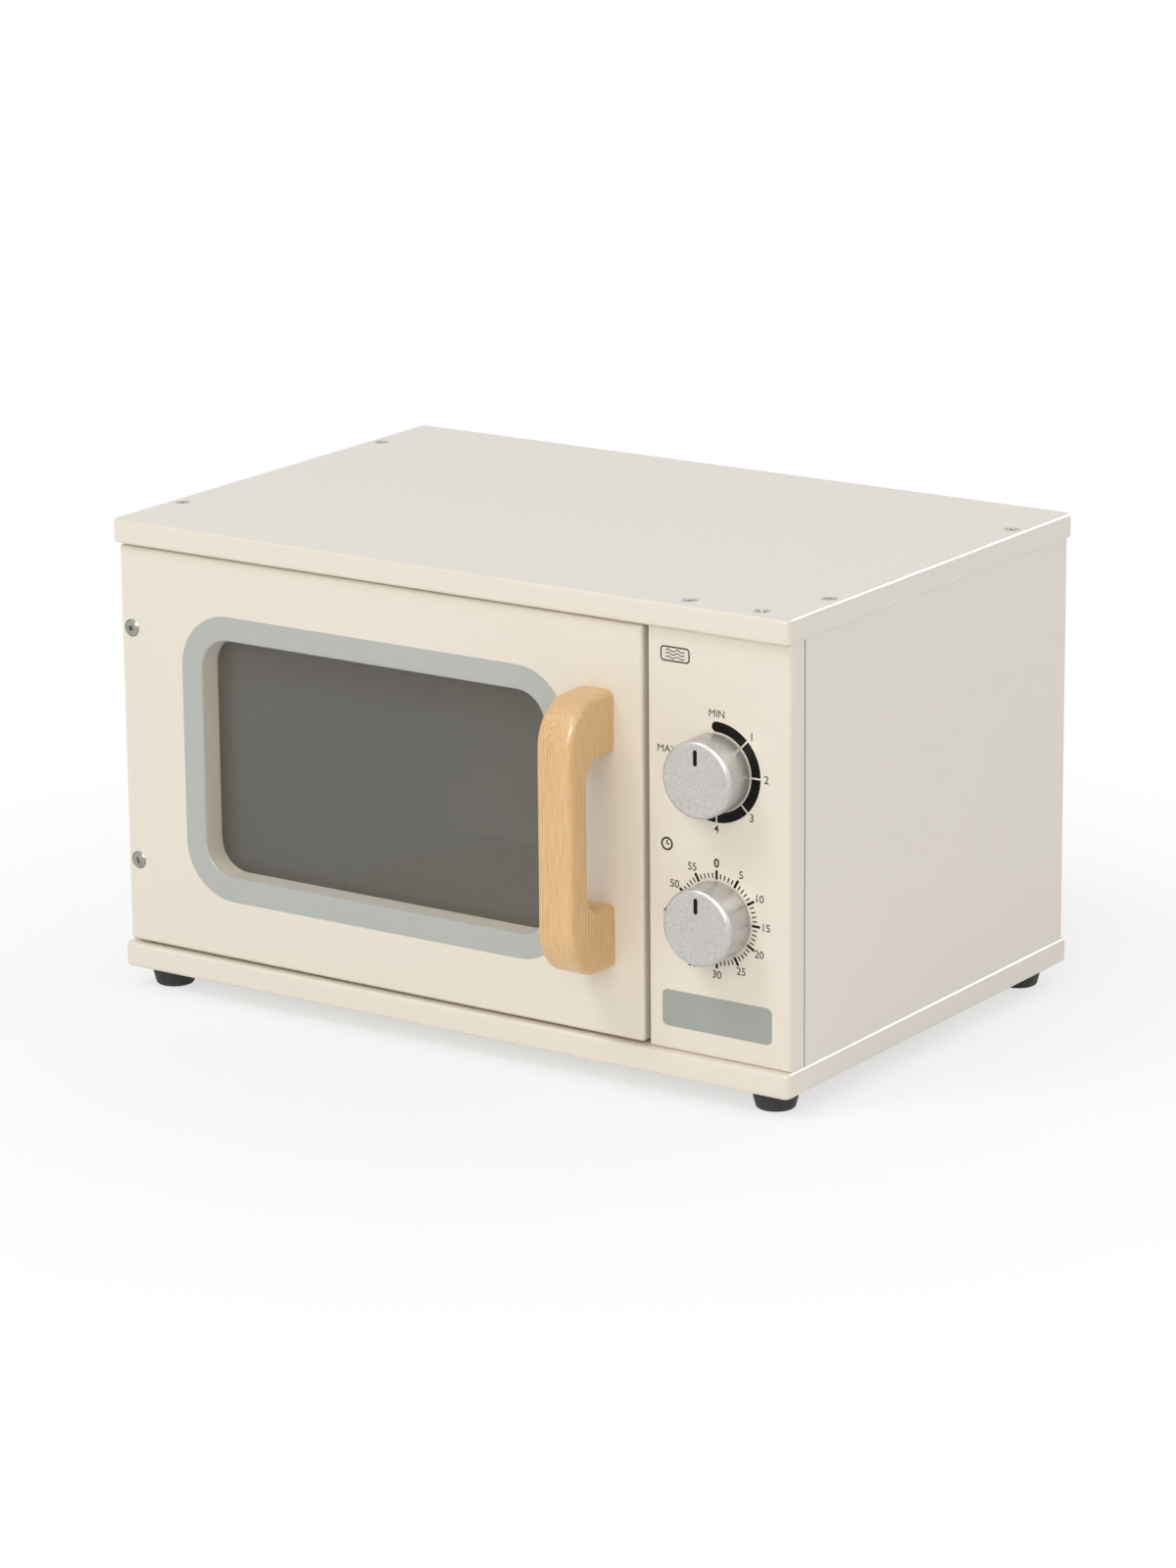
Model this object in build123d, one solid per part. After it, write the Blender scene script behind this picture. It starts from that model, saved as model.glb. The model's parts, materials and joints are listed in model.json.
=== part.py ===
from build123d import *
import os

# Toy microwave oven of painted board, with a hinged windowed door, two click knobs and a turntable.
# Millimetres. +X to the viewer's right, +Y to the back, +Z up.
# The origin is on the table, under the middle of the object's outline.

# Case
case_width = 320.0
lid_depth = 213.0
case_height = 187.0
lid_thickness = 10.0
base_thickness = 10.0
side_thickness = 10.0
divider_thickness = 10.0
back_thickness = 3.0
side_overhang = 1.1
front_overhang = 3.4
back_overhang = 2.7
board_corner_radius = 3.0
board_edge_radius = 1.5
side_edge_radius = 1.0
rebate_width = 5.0
panel_fit_gap = 0.15

# Feet
foot_height = 8.5
foot_top_radius = 9.8
foot_bottom_radius = 7.6
foot_edge_radius = 1.2
foot_inset = 14.5
foot_recess_radius = 4.4
foot_recess_depth = 4.5

# Door and control panel
door_thickness = 10.0
control_panel_thickness = 10.0
control_panel_width = 63.9
door_side_gap = 2.0
door_height_gap = 1.0
door_running_gap = 0.8
door_left_inset = 0.5
door_corner_radius = 1.2
front_edge_radius = 1.5
divider_lap = 4.0

# Window
window_hinge_border = 40.6
window_handle_border = 45.0
window_bottom = 45.0
window_top = 143.0
window_corner_radius = 13.0
window_edge_radius = 1.0
pane_lap = 8.0
pane_thickness = 2.0
pane_corner_radius = 6.0

# Handle
handle_inset = 21.0
handle_width = 16.0
handle_bottom = 39.0
handle_length = 110.0
handle_reach = 29.5
handle_bar_thickness = 12.5
handle_end_height = 25.0
handle_outer_radius = 19.0
handle_inner_radius = 8.0
handle_edge_radius = 2.6

# Hinges
hinge_heights = (45.2, 142.2)
hinge_height = 30.0
hinge_leaf_width = 8.4
hinge_leaf_thickness = 1.0
hinge_axis_inset = 0.65
knuckle_radius = 1.7
hinge_pin_radius = 0.8
hinge_running_gap = 0.05
knuckle_end_gap = 0.3
knuckle_pocket_gap = 0.3
hinge_bolt_inset = 5.25
hinge_boss_radius = 2.6
hinge_boss_length = 5.0
hinge_screw_inset = 4.75
hinge_screw_pitch = 18.0

# Magnet catch
catch_height = 40.0
catch_width = 12.0
catch_depth = 16.0
catch_centre_height = 93.5
catch_edge_radius = 1.0
magnet_width = 5.0
magnet_depth = 10.0
magnet_height = 16.0
magnet_proud = 0.5
strike_width = 10.0
strike_height = 28.0
strike_thickness = 1.0

# Knobs and their click movements
knob_inset = 31.0
power_knob_height = 123.4
timer_knob_height = 65.6
knob_radius = 15.25
knob_length = 14.2
knob_stand_off = 0.5
knob_rim_radius = 1.8
knob_back_radius = 0.8
knob_hollow_radius = 8.6
knob_hollow_depth = 2.0
knob_grip_depth = 9.0
spindle_radius = 3.0
bush_wall = 2.0
bush_flange_radius = 7.6
bush_flange_thickness = 1.2
bush_running_gap = 0.06
click_count = 24
wheel_radius = 13.0
wheel_thickness = 5.0
wheel_stand_off = 1.5
notch_radius = 1.25
click_spring_thickness = 0.6
click_spring_reach = 3.2
click_spring_nose_radius = 0.55
click_spring_nose_slope = 0.8
click_spring_gap = 0.3
click_spring_foot_width = 11.0
click_spring_foot_height = 9.0
click_spring_drop = 24.0
washer_radius = 5.0
washer_thickness = 0.8

# Turntable
turntable_radius = 88.0
turntable_thickness = 6.0
turntable_edge_radius = 2.0
turntable_groove_radius = 78.0
turntable_groove_width = 1.2
turntable_lift = 4.0
turntable_running_gap = 0.2
bearing_flange_radius = 20.0
bearing_hub_radius = 6.0
bearing_depth = 8.0
pivot_radius = 2.5
pivot_running_gap = 0.05
pivot_grip_depth = 4.0
pivot_length = 14.0

# Dowels and screws
dowel_radius = 3.0
dowel_length = 16.0
dowel_spacing = 110.0
screw_hole_gap = 0.05
case_screw_head_radius = 3.3
case_screw_radius = 1.7
case_screw_length = 30.0
case_screw_spacing = 136.0
front_screw_spacing = 32.0
small_screw_head_radius = 2.3
small_screw_radius = 1.1
small_screw_length = 8.0
back_screw_length = 14.0
catch_screw_length = 18.0
catch_screw_pitch = 28.0
strike_screw_pitch = 20.0
handle_screw_length = 26.0
handle_screw_radius = 1.9
handle_screw_head_radius = 3.4
hinge_bolt_head_radius = 3.6
hinge_bolt_radius = 1.45
hinge_bolt_length = 8.4
hinge_bolt_sink = 0.3
foot_screw_length = 12.0
countersink_angle = 90.0
screw_rim = 0.25
cross_slot_width = 0.75
cross_slot_share = 0.62
cross_slot_depth = 1.0

# Places that follow from the sizes above
case_left = -case_width / 2
case_right = case_width / 2
lid_back_y = (lid_depth - front_overhang + door_running_gap + handle_reach) / 2
lid_front_y = lid_back_y - lid_depth
panel_front_y = lid_front_y + front_overhang
panel_back_y = panel_front_y + control_panel_thickness
door_back_y = panel_back_y - door_running_gap
door_front_y = door_back_y - door_thickness
side_back_y = lid_back_y - back_overhang
back_front_y = side_back_y - back_thickness
middle_y = (lid_front_y + lid_back_y) / 2
base_bottom = foot_height
floor_height = base_bottom + base_thickness
lid_top = base_bottom + case_height
ceiling_height = lid_top - lid_thickness
side_left = case_left + side_overhang
side_right = case_right - side_overhang
inner_left = side_left + side_thickness
inner_right = side_right - side_thickness
control_left = side_right - control_panel_width
door_right = control_left - door_side_gap
door_left = side_left + door_left_inset
window_left = door_left + window_hinge_border
window_right = door_right - window_handle_border
handle_centre_x = door_right - handle_inset
knob_x = control_left + knob_inset
door_bottom = floor_height + door_height_gap
door_top = ceiling_height - door_height_gap
divider_left = door_right - divider_lap
divider_right = divider_left + divider_thickness
hinge_x = side_left + hinge_axis_inset
hinge_y = panel_back_y - door_running_gap / 2
case_screw_x = side_right - side_thickness / 2
front_screw_y = panel_front_y + control_panel_thickness / 2
control_middle_x = (control_left + side_right) / 2


# Basic shapes

def block(x0, x1, y0, y1, z0, z1):
    """A box between two corners."""
    centre = Pos((x0 + x1) / 2, (y0 + y1) / 2, (z0 + z1) / 2)
    return centre * Box(x1 - x0, y1 - y0, z1 - z0)


def turned(points):
    """A solid turned about local Z from (radius, height) points."""
    profile = make_face(Polyline(*points, close=True))
    return revolve(Plane.XZ * profile, Axis.Z)


def facing(direction, x, y, z):
    """A work plane at a point, whose local Z looks in a direction."""
    towards = {
        "up": ((1, 0, 0), (0, 0, 1)),
        "down": ((1, 0, 0), (0, 0, -1)),
        "front": ((1, 0, 0), (0, -1, 0)),
        "back": ((-1, 0, 0), (0, 1, 0)),
        "left": ((0, -1, 0), (-1, 0, 0)),
    }
    across, out = towards[direction]
    return Plane(origin=(x, y, z), x_dir=across, z_dir=out)


def rounded_board(board, thin_axis, corner_radius, edge_radius):
    """Rounds a board's corners, then all the edges of its two large faces."""
    board = fillet(board.edges().filter_by(thin_axis), corner_radius)
    large = board.faces().sort_by(thin_axis)
    return fillet(large[0].edges() + large[-1].edges(), edge_radius)


def group(pieces):
    """Separate solids that share one node."""
    return Compound([solid for piece in pieces for solid in piece.solids()])


# Screws. A head's top is at local Z 0 and the shank points down.

def head_depth(head_radius, shank_radius):
    """How deep a countersunk head goes, from its rim to its shank."""
    return screw_rim + (head_radius - shank_radius) * (90.0 / countersink_angle)


def countersunk_screw(head_radius, shank_radius, length):
    """A flat-headed screw with a cross slot and a pointed end."""
    depth = head_depth(head_radius, shank_radius)
    screw = turned([
        (0, 0), (head_radius, 0), (head_radius, -screw_rim), (shank_radius, -depth),
        (shank_radius, -length + shank_radius), (0, -length),
    ])
    return screw - cross_slot(head_radius)


def pan_screw(head_radius, shank_radius, length):
    """A low round-headed screw whose head stands on the surface."""
    head = shank_radius
    screw = turned([
        (0, head), (head_radius * 0.6, head), (head_radius, head * 0.4), (head_radius, 0),
        (shank_radius, 0), (shank_radius, -length + shank_radius), (0, -length),
    ])
    return screw - Pos(0, 0, head) * cross_slot(head_radius)


def cross_slot(head_radius):
    """The cross that a driver fits."""
    arm = 2 * head_radius * cross_slot_share
    slot = Box(arm, cross_slot_width, 2 * cross_slot_depth)
    return slot + Box(cross_slot_width, arm, 2 * cross_slot_depth)


def countersunk_hole(head_radius, shank_radius, length, sink=0.0):
    """The hole for a countersunk screw, open above its face."""
    depth = sink + head_depth(head_radius, shank_radius)
    head = head_radius + screw_hole_gap
    shank = shank_radius + screw_hole_gap
    return turned([
        (0, 1), (head, 1), (head, -sink - screw_rim), (shank, -depth),
        (shank, -length - sink), (0, -length - sink),
    ])


def plain_hole(radius, length):
    """A straight hole for a shank or a dowel, from local Z 0 down."""
    hole = Cylinder(radius, length, align=(Align.CENTER, Align.CENTER, Align.MAX))
    return hole


# Where the screws and dowels go

def case_screw_points():
    """X and Y of the screws that hold a board to the sides and the control panel."""
    sides = [
        (side * case_screw_x, middle_y + end * case_screw_spacing / 2)
        for side in (-1, 1) for end in (-1, 1)
    ]
    front = [(control_middle_x + end * front_screw_spacing / 2, front_screw_y) for end in (-1, 1)]
    return sides + front


lid_screw_places = [facing("up", x, y, lid_top) for x, y in case_screw_points()]
base_screw_places = [facing("down", x, y, base_bottom) for x, y in case_screw_points()]
divider_middle_x = (divider_left + divider_right) / 2
dowel_points = [(divider_middle_x, middle_y + end * dowel_spacing / 2) for end in (-1, 1)]
dowel_grip = dowel_length - (dowel_length - lid_thickness) / 2 - lid_thickness * 0.7
dowel_ceiling = ceiling_height + dowel_grip
dowel_floor = floor_height - dowel_grip
foot_points = {
    "front_left": (case_left + foot_inset, lid_front_y + foot_inset),
    "front_right": (case_right - foot_inset, lid_front_y + foot_inset),
    "rear_left": (case_left + foot_inset, lid_back_y - foot_inset),
    "rear_right": (case_right - foot_inset, lid_back_y - foot_inset),
}
back_screw_heights = (floor_height + 20.0, (floor_height + ceiling_height) / 2, ceiling_height - 20.0)
back_screw_columns = (
    side_left + side_thickness - rebate_width / 2,
    divider_middle_x,
    side_right - side_thickness + rebate_width / 2,
)
back_screw_places = [
    facing("back", x, side_back_y, z) for x in back_screw_columns for z in back_screw_heights
]
hinge_levels = {"lower": base_bottom + hinge_heights[0], "upper": base_bottom + hinge_heights[1]}
hinge_bolt_places = [
    facing("front", hinge_x + hinge_bolt_inset, door_front_y, z) for z in hinge_levels.values()
]
hinge_screw_places = [
    facing("front", hinge_x + hinge_screw_inset, panel_back_y, z + end * hinge_screw_pitch / 2)
    for z in hinge_levels.values() for end in (-1, 1)
]
handle_screw_heights = (
    base_bottom + handle_bottom + handle_end_height / 2,
    base_bottom + handle_bottom + handle_length - handle_end_height / 2,
)
handle_screw_places = [
    facing("back", handle_centre_x, door_back_y, z) for z in handle_screw_heights
]
catch_level = base_bottom + catch_centre_height
catch_left = divider_left - catch_width
catch_screw_places = [
    facing("left", catch_left, panel_back_y + catch_depth * 0.7, catch_level + end * catch_screw_pitch / 2)
    for end in (-1, 1)
]
strike_x = catch_left + catch_width / 2
strike_screw_places = [
    facing("back", strike_x, door_back_y, catch_level + end * strike_screw_pitch / 2) for end in (-1, 1)
]
pane_left = window_left - pane_lap
pane_right = window_right + pane_lap
pane_bottom = base_bottom + window_bottom - pane_lap
pane_top = base_bottom + window_top + pane_lap
window_middle_x = (window_left + window_right) / 2
window_screw_places = [
    facing("back", x, door_back_y + pane_thickness, z)
    for x in (pane_left + pane_lap / 2, window_middle_x, pane_right - pane_lap / 2)
    for z in (pane_bottom + pane_lap / 2, pane_top - pane_lap / 2)
]
knob_levels = {"power": base_bottom + power_knob_height, "timer": base_bottom + timer_knob_height}
oven_middle_x = (inner_left + divider_left) / 2
oven_middle_y = (door_back_y + back_front_y) / 2


# Case boards

def lid_panel():
    board = block(case_left, case_right, lid_front_y, lid_back_y, ceiling_height, lid_top)
    board = rounded_board(board, Axis.Z, board_corner_radius, board_edge_radius)
    for place in lid_screw_places:
        board -= place * countersunk_hole(case_screw_head_radius, case_screw_radius, lid_thickness + 1)
    for x, y in dowel_points:
        board -= facing("up", x, y, dowel_ceiling) * plain_hole(dowel_radius, dowel_grip)
    return board


def base_panel():
    board = block(case_left, case_right, lid_front_y, lid_back_y, base_bottom, floor_height)
    board = rounded_board(board, Axis.Z, board_corner_radius, board_edge_radius)
    for place in base_screw_places:
        board -= place * countersunk_hole(case_screw_head_radius, case_screw_radius, base_thickness + 1)
    for x, y in dowel_points:
        board -= facing("down", x, y, dowel_floor) * plain_hole(dowel_radius, dowel_grip)
    for x, y in foot_points.values():
        reach = foot_screw_length - foot_height + foot_recess_depth
        board -= facing("down", x, y, base_bottom) * plain_hole(case_screw_radius + screw_hole_gap, reach)
    bearing_hole = plain_hole(bearing_hub_radius, bearing_depth)
    return board - facing("up", oven_middle_x, oven_middle_y, floor_height) * bearing_hole


def side_board(x0, x1, rebate_from, rebate_to):
    """A side with rounded upright edges and a rebate for the back panel."""
    board = block(x0, x1, panel_back_y, side_back_y, floor_height, ceiling_height)
    board = fillet(board.edges().filter_by(Axis.Z), side_edge_radius)
    board -= block(rebate_from, rebate_to, back_front_y, side_back_y + 1, floor_height, ceiling_height)
    for place in lid_screw_places + base_screw_places:
        board -= place * plain_hole(case_screw_radius + screw_hole_gap, case_screw_length)
    for place in back_screw_places:
        board -= place * plain_hole(small_screw_radius + screw_hole_gap, back_screw_length)
    return board


def left_side_panel():
    rebate_from = inner_left - rebate_width
    board = side_board(side_left, inner_left, rebate_from, inner_left + 1)
    for level in hinge_levels.values():
        board -= hinge_leaf_blank(level, panel_back_y, panel_back_y + hinge_leaf_thickness)
        board -= knuckle_pocket(level)
    for place in hinge_screw_places:
        board -= place * countersunk_hole(small_screw_head_radius, small_screw_radius, back_screw_length)
    return board


def right_side_panel():
    rebate_to = inner_right + rebate_width
    return side_board(inner_right, side_right, inner_right - 1, rebate_to)


def back_panel():
    x0 = inner_left - rebate_width + panel_fit_gap
    x1 = inner_right + rebate_width - panel_fit_gap
    board = block(x0, x1, back_front_y, side_back_y, floor_height, ceiling_height)
    for place in back_screw_places:
        board -= place * plain_hole(small_screw_radius + screw_hole_gap, back_thickness + 1)
    return board


def divider_panel():
    board = block(divider_left, divider_right, panel_back_y, back_front_y, floor_height, ceiling_height)
    for x, y in dowel_points:
        board -= facing("up", x, y, dowel_ceiling) * plain_hole(dowel_radius, dowel_length)
        board -= facing("down", x, y, dowel_floor) * plain_hole(dowel_radius, dowel_length)
    for place in back_screw_places:
        board -= place * plain_hole(small_screw_radius + screw_hole_gap, back_screw_length)
    for place in catch_screw_places:
        board -= place * plain_hole(small_screw_radius + screw_hole_gap, catch_screw_length)
    return board


def divider_dowels():
    pieces = []
    for x, y in dowel_points:
        pieces.append(facing("up", x, y, dowel_ceiling) * plain_hole(dowel_radius, dowel_length))
        pieces.append(facing("down", x, y, dowel_floor) * plain_hole(dowel_radius, dowel_length))
    return group(pieces)


def control_panel():
    board = block(control_left, side_right, panel_front_y, panel_back_y, floor_height, ceiling_height)
    board = fillet(board.faces().sort_by(Axis.Y)[0].edges(), front_edge_radius)
    for place in lid_screw_places + base_screw_places:
        board -= place * plain_hole(case_screw_radius + screw_hole_gap, case_screw_length)
    for level in knob_levels.values():
        hole = plain_hole(spindle_radius + bush_running_gap + bush_wall, control_panel_thickness)
        board -= facing("front", knob_x, panel_front_y, level) * hole
        board -= click_spring_screw_place(level) * plain_hole(
            small_screw_radius + screw_hole_gap, small_screw_length
        )
    return board


# Feet

def foot(x, y):
    """A tapered rubber foot with a sunk screw hole."""
    through = case_screw_radius + screw_hole_gap
    rubber = turned([
        (through, 0), (foot_top_radius, 0), (foot_bottom_radius, -foot_height),
        (foot_recess_radius, -foot_height), (foot_recess_radius, foot_recess_depth - foot_height),
        (through, foot_recess_depth - foot_height),
    ])
    outer_edge = rubber.edges().filter_by(GeomType.CIRCLE).group_by(Axis.Z)[0].sort_by(SortBy.RADIUS)[-1]
    return Pos(x, y, base_bottom) * fillet(outer_edge, foot_edge_radius)


def foot_screws():
    pieces = []
    for x, y in foot_points.values():
        screw = pan_screw(case_screw_head_radius, case_screw_radius, foot_screw_length)
        pieces.append(facing("down", x, y, foot_recess_depth) * screw)
    return group(pieces)


# Door

def door_panel():
    board = block(door_left, door_right, door_front_y, door_back_y, door_bottom, door_top)
    board = rounded_board(board, Axis.Y, door_corner_radius, front_edge_radius)
    window = block(
        window_left, window_right, door_front_y - 1, door_back_y + 1,
        base_bottom + window_bottom, base_bottom + window_top,
    )
    board -= fillet(window.edges().filter_by(Axis.Y), window_corner_radius)
    front_edges = board.faces().sort_by(Axis.Y)[0].inner_wires()[0].edges()
    board = fillet(front_edges, window_edge_radius)
    for level in hinge_levels.values():
        board -= hinge_leaf_blank(level, door_back_y - hinge_leaf_thickness, door_back_y)
        board -= knuckle_pocket(level)
    for place in hinge_bolt_places:
        board -= place * countersunk_hole(
            hinge_bolt_head_radius, hinge_boss_radius, door_thickness, hinge_bolt_sink
        )
    for place in window_screw_places:
        board -= place * plain_hole(small_screw_radius + screw_hole_gap, small_screw_length)
    for place in handle_screw_places:
        board -= place * plain_hole(handle_screw_radius + screw_hole_gap, handle_screw_length)
    board -= strike_blank()
    for place in strike_screw_places:
        board -= place * countersunk_hole(small_screw_head_radius, small_screw_radius, small_screw_length)
    return board


def door_window():
    """The clear sheet screwed behind the opening."""
    sheet = block(
        pane_left, pane_right, door_back_y, door_back_y + pane_thickness, pane_bottom, pane_top
    )
    sheet = fillet(sheet.edges().filter_by(Axis.Y), pane_corner_radius)
    for place in window_screw_places:
        sheet -= place * plain_hole(small_screw_radius + screw_hole_gap, pane_thickness)
    return sheet


def door_handle():
    """A wooden bow: a rounded bar on two end blocks."""
    length = handle_length
    reach = handle_reach
    outer = Pos(-reach / 2, length / 2) * Rectangle(reach, length)
    outer = fillet(outer.vertices().group_by(Axis.X)[0], handle_outer_radius)
    gap_depth = reach - handle_bar_thickness
    gap = Pos(-gap_depth / 2, length / 2) * Rectangle(gap_depth, length - 2 * handle_end_height)
    gap = fillet(gap.vertices().group_by(Axis.X)[0], handle_inner_radius)
    side_plane = Plane(
        origin=(handle_centre_x - handle_width / 2, door_front_y, base_bottom + handle_bottom),
        x_dir=(0, 1, 0), z_dir=(1, 0, 0),
    )
    bow = extrude(side_plane * (outer - gap), handle_width)
    faces = bow.faces().sort_by(Axis.X)
    rims = [
        edge for edge in faces[0].edges() + faces[-1].edges()
        if edge.center().Y < door_front_y - panel_fit_gap
    ]
    bow = fillet(rims, handle_edge_radius)
    for place in handle_screw_places:
        bow -= place * plain_hole(handle_screw_radius + screw_hole_gap, handle_screw_length)
    return bow


# Hinges

def hinge_rod(level, radius, bottom, top):
    """A rod on the hinge axis, between two shares of the hinge's height."""
    low = level - hinge_height / 2 + bottom * hinge_height
    length = (top - bottom) * hinge_height
    rod = Cylinder(radius, length, align=(Align.CENTER, Align.CENTER, Align.MIN))
    return Pos(hinge_x, hinge_y, low) * rod


def hinge_leaf_blank(level, y0, y1):
    """The flat of one leaf, which is also the recess that it lies in."""
    low = level - hinge_height / 2
    return block(hinge_x, hinge_x + hinge_leaf_width, y0, y1, low, low + hinge_height)


def knuckle_pocket(level):
    """The round corner cut that the knuckles turn in."""
    return hinge_rod(level, knuckle_radius + knuckle_pocket_gap, 0, 1)


def hinge_frame_leaf(level):
    """The leaf on the case, with the knuckles at both ends."""
    leaf = hinge_leaf_blank(level, panel_back_y, panel_back_y + hinge_leaf_thickness)
    leaf -= hinge_rod(level, knuckle_radius + knuckle_pocket_gap, 1 / 3, 2 / 3)
    end = knuckle_end_gap / hinge_height / 2
    for bottom, top in ((0, 1 / 3 - end), (2 / 3 + end, 1)):
        leaf += hinge_rod(level, knuckle_radius, bottom, top)
    leaf -= hinge_rod(level, hinge_pin_radius, 0, 1)
    for place in hinge_screw_places:
        leaf -= place * countersunk_hole(small_screw_head_radius, small_screw_radius, back_screw_length)
    return leaf


def hinge_door_leaf(level):
    """The leaf on the door, with the middle knuckle and a threaded boss."""
    leaf = hinge_leaf_blank(level, door_back_y - hinge_leaf_thickness, door_back_y)
    for bottom, top in ((0, 1 / 3), (2 / 3, 1)):
        leaf -= hinge_rod(level, knuckle_radius + knuckle_pocket_gap, bottom, top)
    end = knuckle_end_gap / hinge_height / 2
    leaf += hinge_rod(level, knuckle_radius, 1 / 3 + end, 2 / 3 - end)
    leaf -= hinge_rod(level, hinge_pin_radius + hinge_running_gap, 0, 1)
    axis_place = facing("front", hinge_x + hinge_bolt_inset, door_back_y - hinge_leaf_thickness, level)
    boss = Cylinder(
        hinge_boss_radius, hinge_boss_length, align=(Align.CENTER, Align.CENTER, Align.MIN)
    )
    leaf += axis_place * boss
    bolt_bore = Cylinder(hinge_bolt_radius + screw_hole_gap, 3 * hinge_boss_length)
    return leaf - axis_place * bolt_bore


def hinge_bolts():
    sunk = Pos(0, 0, -hinge_bolt_sink)
    bolt = countersunk_screw(hinge_bolt_head_radius, hinge_bolt_radius, hinge_bolt_length)
    return group([place * sunk * bolt for place in hinge_bolt_places])


# Catch

def catch_housing():
    y0 = panel_back_y
    low = catch_level - catch_height / 2
    body = block(catch_left, divider_left, y0, y0 + catch_depth, low, low + catch_height)
    body = fillet(body.faces().sort_by(Axis.X)[0].edges(), catch_edge_radius)
    body -= magnet_blank(0)
    for place in catch_screw_places:
        body -= place * countersunk_hole(small_screw_head_radius, small_screw_radius, catch_screw_length)
    return body


def magnet_blank(proud):
    return block(
        strike_x - magnet_width / 2, strike_x + magnet_width / 2,
        panel_back_y - proud, panel_back_y + magnet_depth,
        catch_level - magnet_height / 2, catch_level + magnet_height / 2,
    )


def strike_blank():
    return block(
        strike_x - strike_width / 2, strike_x + strike_width / 2,
        door_back_y - strike_thickness, door_back_y,
        catch_level - strike_height / 2, catch_level + strike_height / 2,
    )


def strike_plate():
    plate = strike_blank()
    for place in strike_screw_places:
        plate -= place * countersunk_hole(small_screw_head_radius, small_screw_radius, small_screw_length)
    return plate


# Knobs, each with its spindle, bush and click movement. Local Z 0 is the control panel's face.

def knob_plane(level):
    return facing("front", knob_x, panel_front_y, level)


def wheel_depth():
    """How far the click wheel's front lies behind the control panel's face."""
    return control_panel_thickness + wheel_stand_off


def knob(level):
    """A turned wooden knob, hollow at the back where it covers the bush."""
    back = knob_stand_off
    front = back + knob_length
    body = Pos(0, 0, back) * Cylinder(
        knob_radius, knob_length, align=(Align.CENTER, Align.CENTER, Align.MIN)
    )
    rims = body.edges().filter_by(GeomType.CIRCLE).sort_by(Axis.Z)
    body = fillet(rims[-1], knob_rim_radius)
    rims = body.edges().filter_by(GeomType.CIRCLE).sort_by(Axis.Z)
    body = fillet(rims[0], knob_back_radius)
    hollow = Pos(0, 0, back) * Cylinder(
        knob_hollow_radius, knob_hollow_depth, align=(Align.CENTER, Align.CENTER, Align.MIN)
    )
    bore = Pos(0, 0, back) * Cylinder(
        spindle_radius, knob_grip_depth, align=(Align.CENTER, Align.CENTER, Align.MIN)
    )
    return knob_plane(level) * (body - hollow - bore)


def spindle(level):
    """A round rod from inside the knob to the back of the click wheel."""
    front = knob_stand_off + knob_grip_depth
    back = wheel_depth() + wheel_thickness
    rod = Pos(0, 0, -back) * Cylinder(
        spindle_radius, front + back, align=(Align.CENTER, Align.CENTER, Align.MIN)
    )
    pilot = Pos(0, 0, -back) * Cylinder(small_screw_radius + screw_hole_gap, 2 * small_screw_length)
    return knob_plane(level) * (rod - pilot)


def bush(level):
    """A flanged sleeve that the spindle turns in."""
    bore = spindle_radius + bush_running_gap
    outer = bore + bush_wall
    flange_top = bush_flange_thickness
    back = control_panel_thickness
    sleeve = turned([
        (bore, flange_top), (bush_flange_radius, flange_top), (bush_flange_radius, 0),
        (outer, 0), (outer, -back), (bore, -back),
    ])
    return knob_plane(level) * sleeve


def click_wheel(level):
    """A wheel with a ring of round notches in its rim."""
    depth = wheel_depth()
    wheel = Circle(wheel_radius) - Circle(spindle_radius)
    wheel -= PolarLocations(wheel_radius, click_count) * Circle(notch_radius)
    body = extrude(Plane.XY.offset(-depth - wheel_thickness) * wheel, wheel_thickness)
    return knob_plane(level) * body


def click_spring_line():
    """Where the spring strip stands off beside the wheel."""
    return wheel_radius - notch_radius + click_spring_gap + click_spring_reach


def click_spring(level):
    """A bent strip on a flat foot, whose nose rests in a notch of the click wheel."""
    line = click_spring_line()
    thickness = click_spring_thickness
    nose = click_spring_reach
    rise = nose * click_spring_nose_slope
    path = FilletPolyline(
        (line, -click_spring_drop), (line, -rise), (line - nose + thickness / 2, 0),
        (line, rise), (line + rise, 2 * rise),
        radius=click_spring_nose_radius,
    )
    depth = wheel_depth() + wheel_thickness
    strip = extrude(Plane.XY.offset(-depth) * trace(path, thickness), wheel_thickness)
    back = control_panel_thickness
    stem = block(
        line - thickness / 2, line + thickness / 2, -click_spring_drop,
        -click_spring_drop + click_spring_foot_height, -depth, -back,
    )
    foot_plate = block(
        line - click_spring_foot_width, line + thickness / 2, -click_spring_drop,
        -click_spring_drop + click_spring_foot_height, -back - thickness, -back,
    )
    spring = knob_plane(level) * (strip + stem + foot_plate)
    return spring - click_spring_screw_place(level) * plain_hole(
        small_screw_radius + screw_hole_gap, small_screw_length
    )


def click_spring_screw_place(level):
    """The plane on the back of a click spring's foot."""
    x = knob_x + click_spring_line() - click_spring_foot_width / 2
    z = level - click_spring_drop + click_spring_foot_height / 2
    return facing("back", x, panel_back_y + click_spring_thickness, z)


def spindle_washer(level):
    depth = wheel_depth() + wheel_thickness
    ring = Cylinder(washer_radius, washer_thickness, align=(Align.CENTER, Align.CENTER, Align.MAX))
    ring -= Cylinder(small_screw_radius + screw_hole_gap, 4 * washer_thickness)
    return knob_plane(level) * Pos(0, 0, -depth) * ring


def spindle_screw(level):
    y = panel_front_y + wheel_depth() + wheel_thickness + washer_thickness
    screw = pan_screw(small_screw_head_radius, small_screw_radius, small_screw_length)
    return facing("back", knob_x, y, level) * screw


# Turntable

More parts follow.
